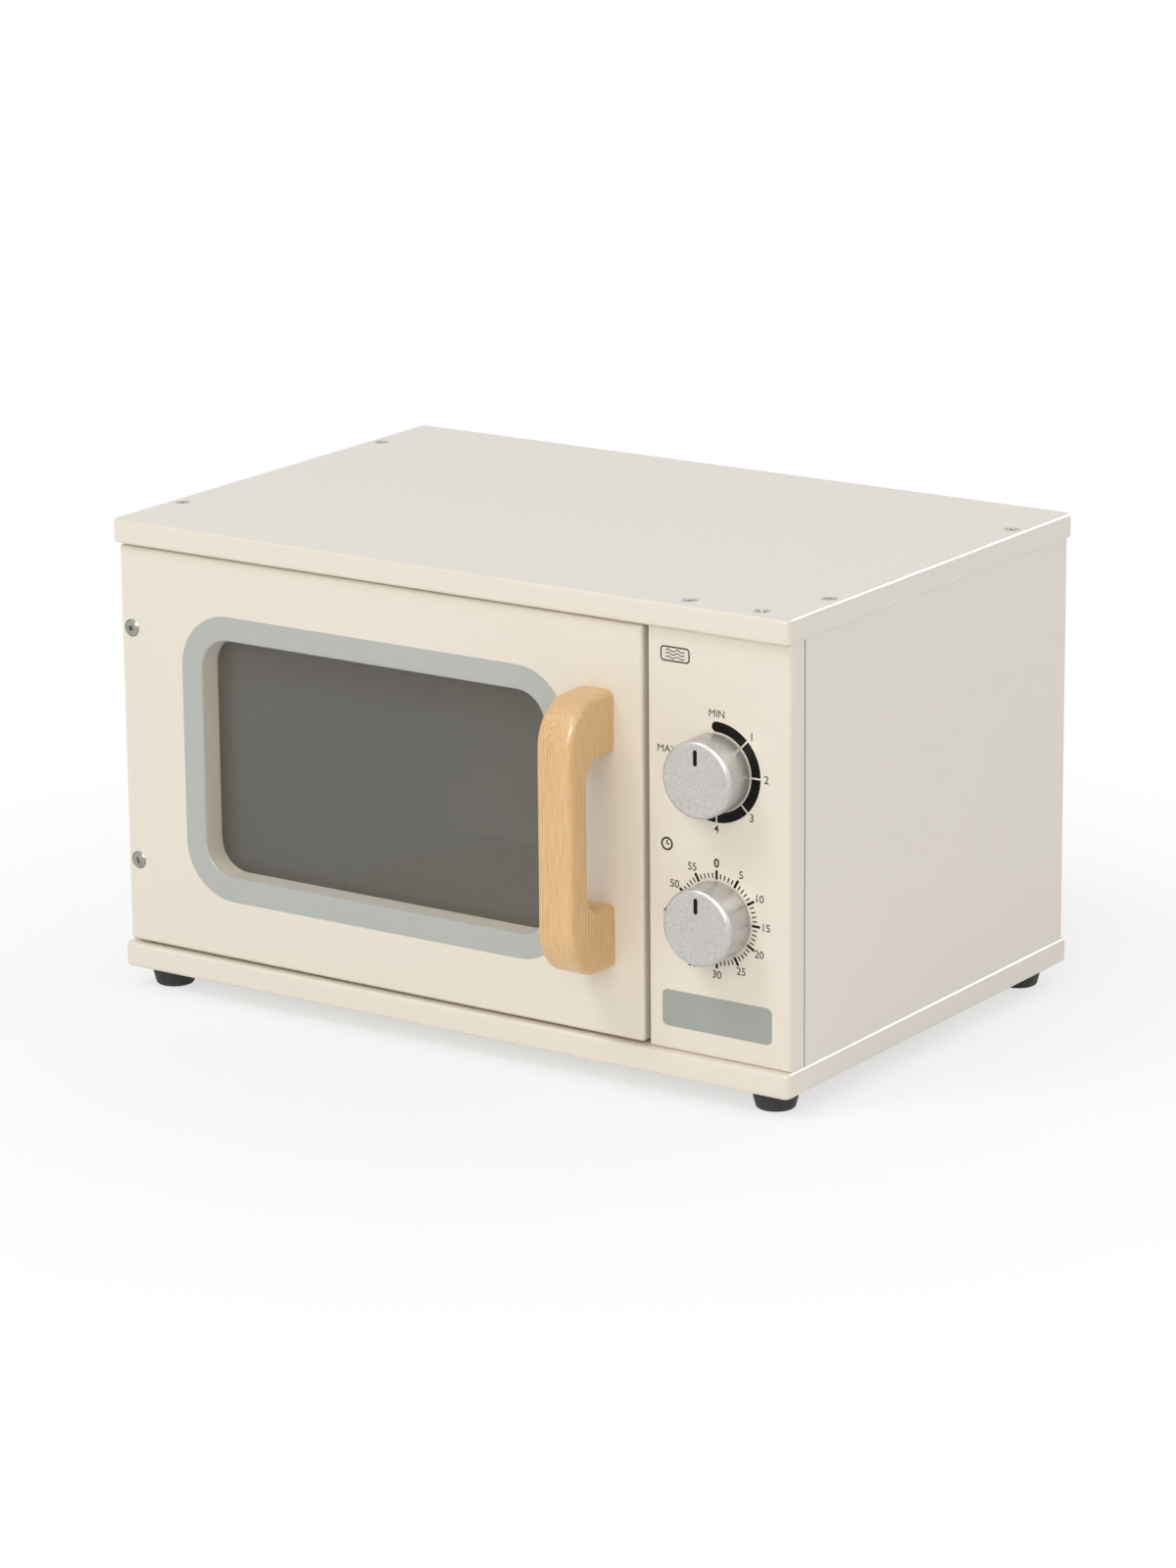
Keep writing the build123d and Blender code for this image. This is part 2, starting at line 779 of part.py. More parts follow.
def turntable_bearing():
    """A flanged socket let into the floor, which the plate's pivot turns in."""
    bore = pivot_radius + pivot_running_gap
    top = turntable_lift - turntable_running_gap
    socket = turned([
        (bore, top), (bearing_flange_radius, top), (bearing_flange_radius, 0),
        (bearing_hub_radius, 0), (bearing_hub_radius, -bearing_depth), (bore, -bearing_depth),
    ])
    return Pos(oven_middle_x, oven_middle_y, floor_height) * socket


def turntable_plate():
    """A wooden disc with rounded rims and a turned ring near its edge."""
    low = floor_height + turntable_lift
    disc = Cylinder(
        turntable_radius, turntable_thickness, align=(Align.CENTER, Align.CENTER, Align.MIN)
    )
    disc = fillet(disc.edges().filter_by(GeomType.CIRCLE), turntable_edge_radius)
    groove = Circle(turntable_groove_radius + turntable_groove_width)
    groove -= Circle(turntable_groove_radius - turntable_groove_width)
    disc -= extrude(Plane.XY.offset(turntable_thickness - turntable_groove_width) * groove,
                    2 * turntable_groove_width)
    disc -= Cylinder(pivot_radius, 2 * pivot_grip_depth)
    return Pos(oven_middle_x, oven_middle_y, low) * disc


def turntable_pivot():
    rod = Cylinder(pivot_radius, pivot_length, align=(Align.CENTER, Align.CENTER, Align.MAX))
    top = floor_height + turntable_lift + pivot_grip_depth
    return Pos(oven_middle_x, oven_middle_y, top) * rod


# Everything by name

nodes = {
    "lid_panel": lid_panel(),
    "base_panel": base_panel(),
    "left_side_panel": left_side_panel(),
    "right_side_panel": right_side_panel(),
    "back_panel": back_panel(),
    "divider_panel": divider_panel(),
    "divider_dowels": divider_dowels(),
    "control_panel": control_panel(),
    "foot_screws": foot_screws(),
    "door_panel": door_panel(),
    "door_window": door_window(),
    "door_handle": door_handle(),
    "hinge_bolts": hinge_bolts(),
    "catch_housing": catch_housing(),
    "catch_magnet": magnet_blank(magnet_proud),
    "strike_plate": strike_plate(),
    "turntable_bearing": turntable_bearing(),
    "turntable_plate": turntable_plate(),
    "turntable_pivot": turntable_pivot(),
}

case_screw = countersunk_screw(case_screw_head_radius, case_screw_radius, case_screw_length)
nodes["lid_screws"] = group([place * case_screw for place in lid_screw_places])
nodes["base_screws"] = group([place * case_screw for place in base_screw_places])

back_screw = pan_screw(small_screw_head_radius, small_screw_radius, back_screw_length)
nodes["back_panel_screws"] = group([place * back_screw for place in back_screw_places])

leaf_screw = countersunk_screw(small_screw_head_radius, small_screw_radius, back_screw_length)
nodes["hinge_frame_screws"] = group([place * leaf_screw for place in hinge_screw_places])

catch_screw = countersunk_screw(small_screw_head_radius, small_screw_radius, catch_screw_length)
nodes["catch_screws"] = group([place * catch_screw for place in catch_screw_places])

strike_screw = countersunk_screw(small_screw_head_radius, small_screw_radius, small_screw_length)
nodes["strike_screws"] = group([place * strike_screw for place in strike_screw_places])

window_screw = pan_screw(small_screw_head_radius, small_screw_radius, small_screw_length)
nodes["window_screws"] = group([place * window_screw for place in window_screw_places])

handle_screw = pan_screw(handle_screw_head_radius, handle_screw_radius, handle_screw_length)
nodes["handle_screws"] = group([place * handle_screw for place in handle_screw_places])

spring_screw = pan_screw(small_screw_head_radius, small_screw_radius, small_screw_length)
nodes["click_spring_screws"] = group([
    click_spring_screw_place(level) * spring_screw for level in knob_levels.values()
])

for corner, (x, y) in foot_points.items():
    nodes["foot_" + corner] = foot(x, y)

for name, level in hinge_levels.items():
    nodes["hinge_" + name + "_frame_leaf"] = hinge_frame_leaf(level)
    nodes["hinge_" + name + "_door_leaf"] = hinge_door_leaf(level)
    nodes["hinge_" + name + "_pin"] = hinge_rod(level, hinge_pin_radius, 0, 1)

for name, level in knob_levels.items():
    nodes[name + "_knob"] = knob(level)
    nodes[name + "_spindle"] = spindle(level)
    nodes[name + "_bush"] = bush(level)
    nodes[name + "_click_wheel"] = click_wheel(level)
    nodes[name + "_click_spring"] = click_spring(level)
    nodes[name + "_spindle_washer"] = spindle_washer(level)
    nodes[name + "_spindle_screw"] = spindle_screw(level)

os.makedirs("parts", exist_ok=True)
for name, shape in nodes.items():
    export_step(shape, "parts/" + name + ".step")
    box = shape.bounding_box()
    print(name, [round(value, 2) for value in (*box.min, *box.max)])
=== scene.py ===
# %% [markdown]
# # A toy microwave oven
# The toy is a box of painted fibre board with a natural beech handle, two silver-grey knobs and a
# smoked window. Its boards, hinges and knobs come ready-made from the construction model, at their
# real size. This lesson dresses them: it gives each part its finish, adds the prints and the screw
# heads, and sets up the light and the camera.

# %% Load the construction model
import bpy
import json
import math
from mathutils import Matrix, Vector


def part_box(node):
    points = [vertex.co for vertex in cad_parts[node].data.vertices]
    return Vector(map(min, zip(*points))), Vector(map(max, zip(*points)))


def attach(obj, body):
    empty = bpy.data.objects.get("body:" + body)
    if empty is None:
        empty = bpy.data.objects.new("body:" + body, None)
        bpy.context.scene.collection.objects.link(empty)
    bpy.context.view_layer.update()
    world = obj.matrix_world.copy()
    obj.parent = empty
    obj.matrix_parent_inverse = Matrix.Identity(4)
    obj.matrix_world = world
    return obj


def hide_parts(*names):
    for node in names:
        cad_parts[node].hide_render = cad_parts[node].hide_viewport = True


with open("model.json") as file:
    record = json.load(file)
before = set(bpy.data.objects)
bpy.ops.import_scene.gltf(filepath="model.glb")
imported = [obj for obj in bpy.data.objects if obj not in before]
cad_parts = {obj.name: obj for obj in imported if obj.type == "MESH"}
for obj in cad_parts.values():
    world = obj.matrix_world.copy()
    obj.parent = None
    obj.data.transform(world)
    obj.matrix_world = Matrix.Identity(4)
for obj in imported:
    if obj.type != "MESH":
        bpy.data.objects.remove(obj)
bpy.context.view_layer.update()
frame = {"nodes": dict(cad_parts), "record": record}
nodes = frame["nodes"]
MM = 0.001
print("loaded", len(nodes), "parts")

# %% [markdown]
# ## Places to measure from
# Every print lies on a board, so its place is measured from that board's own corners, and it would
# move along if the board changed. The box of a part gives its lowest and its highest corner, in
# metres.

# %% Read the places of the main parts
door_low, door_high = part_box("door_panel")
panel_low, panel_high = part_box("control_panel")
door_face = door_low[1]
panel_face = panel_low[1]


def knob_place(name):
    """The middle of a knob's front face."""
    low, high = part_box(name)
    return Vector(((low[0] + high[0]) / 2, low[1], (low[2] + high[2]) / 2))


def on_panel(right, up):
    """A point on the control panel's face, measured from its lower left corner."""
    return Vector((panel_low[0] + right, panel_face, panel_low[2] + up))


power_knob = knob_place("power_knob")
timer_knob = knob_place("timer_knob")
power_dial = Vector((power_knob.x, panel_face, power_knob.z))
timer_dial = Vector((timer_knob.x, panel_face, timer_knob.z))
print("dials at", [round(v, 4) for v in power_dial], [round(v, 4) for v in timer_dial])

# %% [markdown]
# ## The camera
# The photograph was taken from the right and a little above, with a long lens. The camera gets
# the place, the turn and the lens that were worked out from the box's edges in the picture.

# %% Set the camera
camera_azimuth = math.radians(34.37)
camera_elevation = math.radians(15.59)
camera_roll = math.radians(-0.50)
camera_place = Vector((1.2406, -1.8048, 0.6983))
camera_data = bpy.data.cameras.new("camera")
camera_data.sensor_width = 36
camera_data.lens = 129.7
camera = bpy.data.objects.new("camera", camera_data)
bpy.context.scene.collection.objects.link(camera)
turn = Matrix.Rotation(camera_azimuth, 4, "Z")
tilt = Matrix.Rotation(math.pi / 2 - camera_elevation, 4, "X")
roll = Matrix.Rotation(camera_roll, 4, "Z")
camera.matrix_world = Matrix.Translation(camera_place) @ turn @ tilt @ roll
bpy.context.scene.camera = camera
print("camera at", [round(v, 3) for v in camera_place])

# %% [markdown]
# ## Small helpers for node trees
# A material is a graph of nodes. Two short helpers keep the graphs readable: one adds a node and
# fills in its inputs, the other joins two sockets. A third starts a group, which is a graph that
# many materials can share.

# %% Node helpers
def srgb(red, green, blue):
    """A colour written as 0 to 255 on screen, as the linear colour that shaders use."""
    def linear(value):
        value = value / 255
        return value / 12.92 if value <= 0.04045 else ((value + 0.055) / 1.055) ** 2.4
    return (linear(red), linear(green), linear(blue), 1)


def add_node(tree, kind, values=None, **settings):
    """Adds a node, with its settings and the values of its inputs."""
    node = tree.nodes.new(kind)
    for name, value in settings.items():
        setattr(node, name, value)
    for name, value in (values or {}).items():
        node.inputs[name].default_value = value
    return node


def join(tree, start, end):
    """Links an output to an input."""
    tree.links.new(start, end)


def new_group(name, inputs, outputs):
    """An empty shader node group with named sockets: (name, kind, value) each."""
    tree = bpy.data.node_groups.new(name, "ShaderNodeTree")
    for socket, kind, value in inputs:
        made = tree.interface.new_socket(name=socket, in_out="INPUT", socket_type=kind)
        if value is not None:
            made.default_value = value
    for socket, kind in outputs:
        tree.interface.new_socket(name=socket, in_out="OUTPUT", socket_type=kind)
    return tree, tree.nodes.new("NodeGroupInput"), tree.nodes.new("NodeGroupOutput")


COLOUR = "NodeSocketColor"
NUMBER = "NodeSocketFloat"
VECTOR = "NodeSocketVector"
print("half grey on screen is", round(srgb(128, 128, 128)[0], 3), "in linear light")

# %% [markdown]
# ## Uneven tone
# No real surface has one flat colour. This group takes a colour and lets it drift a little lighter
# and darker in soft patches, and moves the gloss with it. Paint, plastic and rubber all use it,
# each with its own size of patch, so it is built once as a group.

# %% Group: soft patches of tone
def build_uneven_tone():
    tree, start, end = new_group(
        "uneven_tone",
        [("Place", VECTOR, None), ("Colour", COLOUR, None), ("Scale", NUMBER, 30.0),
         ("Drift", NUMBER, 0.03), ("Gloss", NUMBER, 0.4), ("Gloss Drift", NUMBER, 0.05)],
        [("Colour", COLOUR), ("Roughness", NUMBER)],
    )
    noise = add_node(tree, "ShaderNodeTexNoise", {"Detail": 3.0, "Roughness": 0.55})
    join(tree, start.outputs["Place"], noise.inputs["Vector"])
    join(tree, start.outputs["Scale"], noise.inputs["Scale"])
    centred = add_node(tree, "ShaderNodeMath", {1: 0.5}, operation="SUBTRACT")
    join(tree, noise.outputs["Fac"], centred.inputs[0])
    light = add_node(tree, "ShaderNodeMath", {2: 1.0}, operation="MULTIPLY_ADD")
    join(tree, centred.outputs[0], light.inputs[0])
    join(tree, start.outputs["Drift"], light.inputs[1])
    tint = add_node(tree, "ShaderNodeHueSaturation")
    join(tree, light.outputs[0], tint.inputs["Value"])
    join(tree, start.outputs["Colour"], tint.inputs["Color"])
    gloss = add_node(tree, "ShaderNodeMath", operation="MULTIPLY_ADD")
    join(tree, centred.outputs[0], gloss.inputs[0])
    join(tree, start.outputs["Gloss Drift"], gloss.inputs[1])
    join(tree, start.outputs["Gloss"], gloss.inputs[2])
    join(tree, tint.outputs["Color"], end.inputs["Colour"])
    join(tree, gloss.outputs[0], end.inputs["Roughness"])
    return tree


uneven_tone = build_uneven_tone()
print("group", uneven_tone.name, "has", len(uneven_tone.nodes), "nodes")

# %% [markdown]
# ## Fine relief
# Sprayed paint has a faint ripple, rubber a matt tooth and cast plastic a light grain. All three are
# one effect at different sizes: noise turned into a bump. A mesh that fine would be huge, so the
# group only bends the normal.

# %% Group: fine relief
def build_fine_relief():
    tree, start, end = new_group(
        "fine_relief",
        [("Place", VECTOR, None), ("Scale", NUMBER, 600.0), ("Depth", NUMBER, 0.00002)],
        [("Normal", VECTOR)],
    )
    noise = add_node(tree, "ShaderNodeTexNoise", {"Detail": 2.0, "Roughness": 0.5})
    join(tree, start.outputs["Place"], noise.inputs["Vector"])
    join(tree, start.outputs["Scale"], noise.inputs["Scale"])
    bump = add_node(tree, "ShaderNodeBump", {"Strength": 0.6})
    join(tree, start.outputs["Depth"], bump.inputs["Distance"])
    join(tree, noise.outputs["Fac"], bump.inputs["Height"])
    join(tree, bump.outputs["Normal"], end.inputs["Normal"])
    return tree


fine_relief = build_fine_relief()
print("group", fine_relief.name, "has", len(fine_relief.nodes), "nodes")

# %% [markdown]
# ## Beech
# Beech is pale and even. Its growth layers show as fine lines along the grain, and short darker
# flecks lie between them. The layers are flat sheets through the whole block, so the same graph
# gives straight lines on a side face and crossing lines where a corner is rounded over. A noise
# that is stretched along the grain bends the sheets a little.

# %% Group: beech grain
layers_across = 780.0
layer_bend = 1.4
layer_share = 0.3
broad_share = 0.3
long_stretch = (1.0, 1.0, 0.07)
fleck_stretch = (1.0, 1.0, 0.06)


def build_beech_grain():
    tree, start, end = new_group(
        "beech_grain",
        [("Place", VECTOR, None), ("Light", COLOUR, None), ("Dark", COLOUR, None),
         ("Layer", NUMBER, 620.0), ("Fleck", NUMBER, 0.35)],
        [("Colour", COLOUR), ("Roughness", NUMBER), ("Normal", VECTOR)],
    )
    long_way = add_node(tree, "ShaderNodeMapping", {"Scale": long_stretch})
    join(tree, start.outputs["Place"], long_way.inputs["Vector"])
    wander = add_node(tree, "ShaderNodeTexNoise", {"Scale": 90.0, "Detail": 2.0})
    join(tree, long_way.outputs["Vector"], wander.inputs["Vector"])
    axes = add_node(tree, "ShaderNodeSeparateXYZ")
    join(tree, start.outputs["Place"], axes.inputs["Vector"])
    depth = add_node(tree, "ShaderNodeMath", operation="MULTIPLY")
    join(tree, axes.outputs["Y"], depth.inputs[0])
    join(tree, start.outputs["Layer"], depth.inputs[1])
    across = add_node(tree, "ShaderNodeMath", {1: layers_across}, operation="MULTIPLY")
    join(tree, axes.outputs["X"], across.inputs[0])
    both = add_node(tree, "ShaderNodeMath", operation="ADD")
    join(tree, depth.outputs[0], both.inputs[0])
    join(tree, across.outputs[0], both.inputs[1])
    bent = add_node(tree, "ShaderNodeMath", {1: layer_bend}, operation="MULTIPLY_ADD")
    join(tree, wander.outputs["Fac"], bent.inputs[0])
    join(tree, both.outputs[0], bent.inputs[2])
    cycle = add_node(tree, "ShaderNodeMath", operation="FRACT")
    join(tree, bent.outputs[0], cycle.inputs[0])
    layer = add_node(tree, "ShaderNodeMapRange", {"From Min": 0.0, "From Max": 1.0},
                     interpolation_type="SMOOTHERSTEP")
    join(tree, cycle.outputs[0], layer.inputs["Value"])
    fleck_way = add_node(tree, "ShaderNodeMapping", {"Scale": fleck_stretch})
    join(tree, start.outputs["Place"], fleck_way.inputs["Vector"])
    flecks = add_node(tree, "ShaderNodeTexNoise", {"Scale": 1500.0, "Detail": 2.0})
    join(tree, fleck_way.outputs["Vector"], flecks.inputs["Vector"])
    sharp = add_node(tree, "ShaderNodeMapRange", {"From Min": 0.45, "From Max": 0.75})
    join(tree, flecks.outputs["Fac"], sharp.inputs["Value"])
    fleck = add_node(tree, "ShaderNodeMath", operation="MULTIPLY")
    join(tree, sharp.outputs["Result"], fleck.inputs[0])
    join(tree, start.outputs["Fleck"], fleck.inputs[1])
    broad = add_node(tree, "ShaderNodeTexNoise", {"Scale": 55.0, "Detail": 1.0})
    join(tree, long_way.outputs["Vector"], broad.inputs["Vector"])
    lines = add_node(tree, "ShaderNodeMath", {1: layer_share}, operation="MULTIPLY_ADD")
    join(tree, layer.outputs["Result"], lines.inputs[0])
    join(tree, fleck.outputs[0], lines.inputs[2])
    total = add_node(tree, "ShaderNodeMath", {1: broad_share}, operation="MULTIPLY_ADD",
                     use_clamp=True)
    join(tree, broad.outputs["Fac"], total.inputs[0])
    join(tree, lines.outputs[0], total.inputs[2])
    mix = add_node(tree, "ShaderNodeMix", data_type="RGBA")
    join(tree, total.outputs[0], mix.inputs["Factor"])
    join(tree, start.outputs["Light"], mix.inputs[6])
    join(tree, start.outputs["Dark"], mix.inputs[7])
    gloss = add_node(tree, "ShaderNodeMath", {1: 0.12, 2: 0.34}, operation="MULTIPLY_ADD")
    join(tree, total.outputs[0], gloss.inputs[0])
    bump = add_node(tree, "ShaderNodeBump", {"Strength": 0.25, "Distance": 0.00005})
    join(tree, lines.outputs[0], bump.inputs["Height"])
    join(tree, mix.outputs[2], end.inputs["Colour"])
    join(tree, gloss.outputs[0], end.inputs["Roughness"])
    join(tree, bump.outputs["Normal"], end.inputs["Normal"])
    return tree


beech_grain = build_beech_grain()
print("group", beech_grain.name, "has", len(beech_grain.nodes), "nodes")

# %% [markdown]
# ## Finishes made from the groups
# A material reads a point's own coordinates on its part, so a pattern stays on the part when the
# door swings or a knob turns. One function makes every smooth finish, because paint, rubber,
# plastic, ink and metal differ only in their colour, gloss and relief.

# %% A function for smooth finishes
def use_group(tree, group, values):
    """Places a group in a material, with its own values."""
    node = tree.nodes.new("ShaderNodeGroup")
    node.node_tree = group
    for name, value in values.items():
        node.inputs[name].default_value = value
    return node


def smooth_finish(name, colour, gloss, metal=0.0, patch=30.0, drift=0.03, gloss_drift=0.06,
                  grain=600.0, depth=0.00002, mirror=0.5):
    """A finish of one tone with soft patches and fine relief."""
    material = bpy.data.materials.new(name)
    material.use_nodes = True
    tree = material.node_tree
    shader = tree.nodes["Principled BSDF"]
    shader.inputs["Metallic"].default_value = metal
    shader.inputs["Specular IOR Level"].default_value = mirror
    place = add_node(tree, "ShaderNodeTexCoord")
    tone = use_group(tree, uneven_tone, {"Colour": colour, "Scale": patch, "Drift": drift,
                                         "Gloss": gloss, "Gloss Drift": gloss_drift})
    relief = use_group(tree, fine_relief, {"Scale": grain, "Depth": depth})
    join(tree, place.outputs["Object"], tone.inputs["Place"])
    join(tree, place.outputs["Object"], relief.inputs["Place"])
    join(tree, tone.outputs["Colour"], shader.inputs["Base Color"])
    join(tree, tone.outputs["Roughness"], shader.inputs["Roughness"])
    join(tree, relief.outputs["Normal"], shader.inputs["Normal"])
    return material


print("materials so far:", len(bpy.data.materials))

# %% [markdown]
# ## The smooth finishes
# Satin cream paint covers the boards, and a duller coat the back. Rubber is dark and matt, plastic
# white and plain, and the metals are bright with uneven gloss. The brown ink prints the numbers and
# the sign, and it also paints the shadow line at the control panel's joint. The black and the brown
# ink mirror less than the rest, because under a white room they would look grey.

# %% Make the smooth finishes
cream_paint = smooth_finish("cream_paint", srgb(231, 223, 208), 0.29, patch=14.0, drift=0.025,
                            grain=420.0, depth=0.000012)
back_paint = smooth_finish("back_paint", srgb(226, 216, 198), 0.5, patch=20.0, drift=0.05,
                           grain=700.0, depth=0.00002)
foot_rubber = smooth_finish("foot_rubber", srgb(40, 40, 37), 0.62, patch=120.0, drift=0.25,
                            grain=1800.0, depth=0.00004)
white_plastic = smooth_finish("white_plastic", srgb(226, 225, 220), 0.38, patch=60.0, drift=0.03,
                              grain=1500.0)
grey_ink = smooth_finish("grey_ink", srgb(179, 182, 176), 0.42, patch=25.0, drift=0.03,
                         grain=900.0, depth=0.000008)
dark_grey_ink = smooth_finish("dark_grey_ink", srgb(160, 164, 157), 0.42, patch=25.0, drift=0.03,
                              grain=900.0, depth=0.000008)
black_ink = smooth_finish("black_ink", srgb(13, 12, 12), 0.4, patch=90.0, drift=0.15,
                          grain=1400.0, depth=0.000006, mirror=0.12)
# Brown print ink, which also serves as painted shade: the dark strip at the control panel's joint.
brown_ink_and_painted_shade = smooth_finish("brown_ink_and_painted_shade", srgb(66, 60, 54), 0.42, patch=90.0, drift=0.12,
                          grain=1400.0, depth=0.000006, mirror=0.2)
zinc_steel = smooth_finish("zinc_steel", srgb(160, 158, 148), 0.24, metal=1.0, patch=260.0,
                           drift=0.12, gloss_drift=0.16, grain=2600.0, depth=0.00001)
bolt_steel = smooth_finish("bolt_steel", srgb(158, 158, 151), 0.16, metal=1.0, patch=300.0,
                           drift=0.3, gloss_drift=0.2, grain=2600.0, depth=0.00001)
spring_steel = smooth_finish("spring_steel", srgb(150, 153, 160), 0.3, metal=1.0, patch=200.0,
                             drift=0.15, gloss_drift=0.2, grain=2200.0)
dark_magnet = smooth_finish("dark_magnet", srgb(64, 64, 68), 0.45, metal=0.6, patch=220.0,
                            drift=0.2, grain=2400.0, depth=0.00003)
print("smooth finishes:", len(bpy.data.materials))

# %% [markdown]
# ## Silver paint on the knobs
# The knobs are turned wood under metallic paint. Fine flakes in it catch the light one by one, so
# up close the grey is speckled. The finish is only about half metal, between bare metal and plain
# paint, and a fine second noise picks the darker flakes.

# %% Speckled silver paint
def silver_finish():
    material = bpy.data.materials.new("silver_paint")
    material.use_nodes = True
    tree = material.node_tree
    shader = tree.nodes["Principled BSDF"]
    shader.inputs["Metallic"].default_value = 0.55
    place = add_node(tree, "ShaderNodeTexCoord")
    tone = use_group(tree, uneven_tone, {"Colour": srgb(206, 203, 199), "Scale": 50.0,
                                         "Drift": 0.06, "Gloss": 0.34, "Gloss Drift": 0.06})
    relief = use_group(tree, fine_relief, {"Scale": 1300.0, "Depth": 0.00005})
    flakes = add_node(tree, "ShaderNodeTexNoise", {"Scale": 1700.0, "Detail": 2.0})
    picked = add_node(tree, "ShaderNodeMapRange", {"From Min": 0.35, "From Max": 0.68})
    mix = add_node(tree, "ShaderNodeMix", data_type="RGBA", blend_type="MULTIPLY")
    mix.inputs[7].default_value = srgb(229, 228, 227)
    for reader in (tone.inputs["Place"], relief.inputs["Place"], flakes.inputs["Vector"]):
        join(tree, place.outputs["Object"], reader)
    join(tree, flakes.outputs["Fac"], picked.inputs["Value"])
    join(tree, picked.outputs["Result"], mix.inputs["Factor"])
    join(tree, tone.outputs["Colour"], mix.inputs[6])
    join(tree, mix.outputs[2], shader.inputs["Base Color"])
    join(tree, tone.outputs["Roughness"], shader.inputs["Roughness"])
    join(tree, relief.outputs["Normal"], shader.inputs["Normal"])
    return material


silver_paint = silver_finish()
print("made", silver_paint.name)

# %% [markdown]
# ## Two cuts of beech
# The handle's grain runs up and down, and the turntable's and the dowels' along the oven. One
# Mapping node turns the block that the piece was cut from. The lacquer is a thin clear coat over
# the wood, smoother than the wood below it.

# %% Beech finishes
def beech_finish(name, light, dark, turned_by, layer=620.0):
    """Lacquered beech whose grain runs along Z before it is turned."""
    material = bpy.data.materials.new(name)
    material.use_nodes = True
    tree = material.node_tree
    shader = tree.nodes["Principled BSDF"]
    shader.inputs["Coat Weight"].default_value = 0.5
    shader.inputs["Coat Roughness"].default_value = 0.13
    place = add_node(tree, "ShaderNodeTexCoord")
    cut = add_node(tree, "ShaderNodeMapping", {"Rotation": turned_by})
    grain = use_group(tree, beech_grain, {"Light": light, "Dark": dark, "Layer": layer})
    join(tree, place.outputs["Object"], cut.inputs["Vector"])
    join(tree, cut.outputs["Vector"], grain.inputs["Place"])
    join(tree, grain.outputs["Colour"], shader.inputs["Base Color"])
    join(tree, grain.outputs["Roughness"], shader.inputs["Roughness"])
    join(tree, grain.outputs["Normal"], shader.inputs["Normal"])
    return material


upright_beech = beech_finish("upright_beech", srgb(239, 200, 143), srgb(181, 134, 78), (0, 0, 0))
lying_beech = beech_finish("lying_beech", srgb(238, 201, 148), srgb(203, 156, 101),
                           (0, math.radians(90), 0), layer=300.0)
print("made", upright_beech.name, "and", lying_beech.name)

# %% [markdown]
# ## The smoked window
# The sheet is clear acrylic with a grey tint. It lets some of the oven's inside through and mirrors
# the room a little. It could be made of refracting glass, but a partly clear surface is simpler. It
# shows both the inside and the mirrored room, and it lets light into the oven too.

# %% Smoked sheet
def smoked_finish():
    material = smooth_finish("smoked_sheet", srgb(124, 124, 119), 0.09, patch=9.0, drift=0.08,
                             gloss_drift=0.03, grain=40.0, depth=0.000002)
    shader = material.node_tree.nodes["Principled BSDF"]
    shader.inputs["Alpha"].default_value = 0.4
    return material


smoked_sheet = smoked_finish()
print("made", smoked_sheet.name)

# %% [markdown]
# ## Dress the construction parts
# The record says which finish each part has. The parts come in as loose triangles, so three
# modifiers make them shade well: Weld joins the triangles, Edge Split keeps the sharp edges sharp,
# and Weighted Normal keeps the large faces flat beside their rounded edges.

# %% Give every part its finish
slot_finish = {
    "painted_board": cream_paint,
    "back_board": back_paint,
    "beech": lying_beech,
    "silver_paint": silver_paint,
    "foot_rubber": foot_rubber,
    "window_sheet": smoked_sheet,
    "white_plastic": white_plastic,
    "magnet": dark_magnet,
    "spring_steel": spring_steel,
    "zinc_steel": zinc_steel,
}
slot_of = {part["node"]: part["material_slot"] for part in frame["record"]["subparts"]}
sharp_angle = math.radians(35)
weld_reach = 0.002 * MM


def dress(part, material):
    """Gives a construction part its finish and smooth shading."""
    part.data.materials.clear()
    part.data.materials.append(material)
    part.data.polygons.foreach_set("use_smooth", [True] * len(part.data.polygons))
    weld = part.modifiers.new("weld", "WELD")
    weld.merge_threshold = weld_reach
    split = part.modifiers.new("split", "EDGE_SPLIT")
    split.split_angle = sharp_angle
    weighted = part.modifiers.new("weighted", "WEIGHTED_NORMAL")
    weighted.weight = 100


for name, part in nodes.items():
    dress(part, slot_finish[slot_of[name]])
nodes["door_handle"].data.materials[0] = upright_beech
print("dressed", len(nodes), "parts")

# %% [markdown]
# ## Work on one piece at a time
# Blender's operators act on whatever is selected, in the mode that is on. These helpers select one
# piece, or some of its points, before each step. A finished piece sits at the origin with its place
# in its mesh, so its pattern stays put: settling a piece does that.

# %% Selecting helpers
def nothing_selected():
    if bpy.context.object and bpy.context.object.mode != "OBJECT":
        bpy.ops.object.mode_set(mode="OBJECT")
    bpy.ops.object.select_all(action="DESELECT")


def only(piece):
    """Selects one piece and makes it the active one."""
    nothing_selected()
    piece.select_set(True)
    bpy.context.view_layer.objects.active = piece


def settle(piece):
    """Moves a piece's place into its mesh, so that the object itself sits at the origin."""
    only(piece)
    bpy.ops.object.transform_apply(location=True, rotation=True, scale=True)
    return piece


def choose(piece, test):
    """Goes into edit mode with only those vertices selected that pass a test of their place."""
    only(piece)
    bpy.ops.object.mode_set(mode="EDIT")
    bpy.ops.mesh.select_mode(type="VERT")
    bpy.ops.mesh.select_all(action="DESELECT")
    bpy.ops.object.mode_set(mode="OBJECT")
    for vertex in piece.data.vertices:
        vertex.select = test(vertex.co)
    bpy.ops.object.mode_set(mode="EDIT")


def edit_all(piece, kind="VERT"):
    """Goes into edit mode with the whole piece selected."""
    only(piece)
    bpy.ops.object.mode_set(mode="EDIT")
    bpy.ops.mesh.select_mode(type=kind)
    bpy.ops.mesh.select_all(action="SELECT")


def named(piece, name):
    piece.name = name
    piece.data.name = name
    return piece


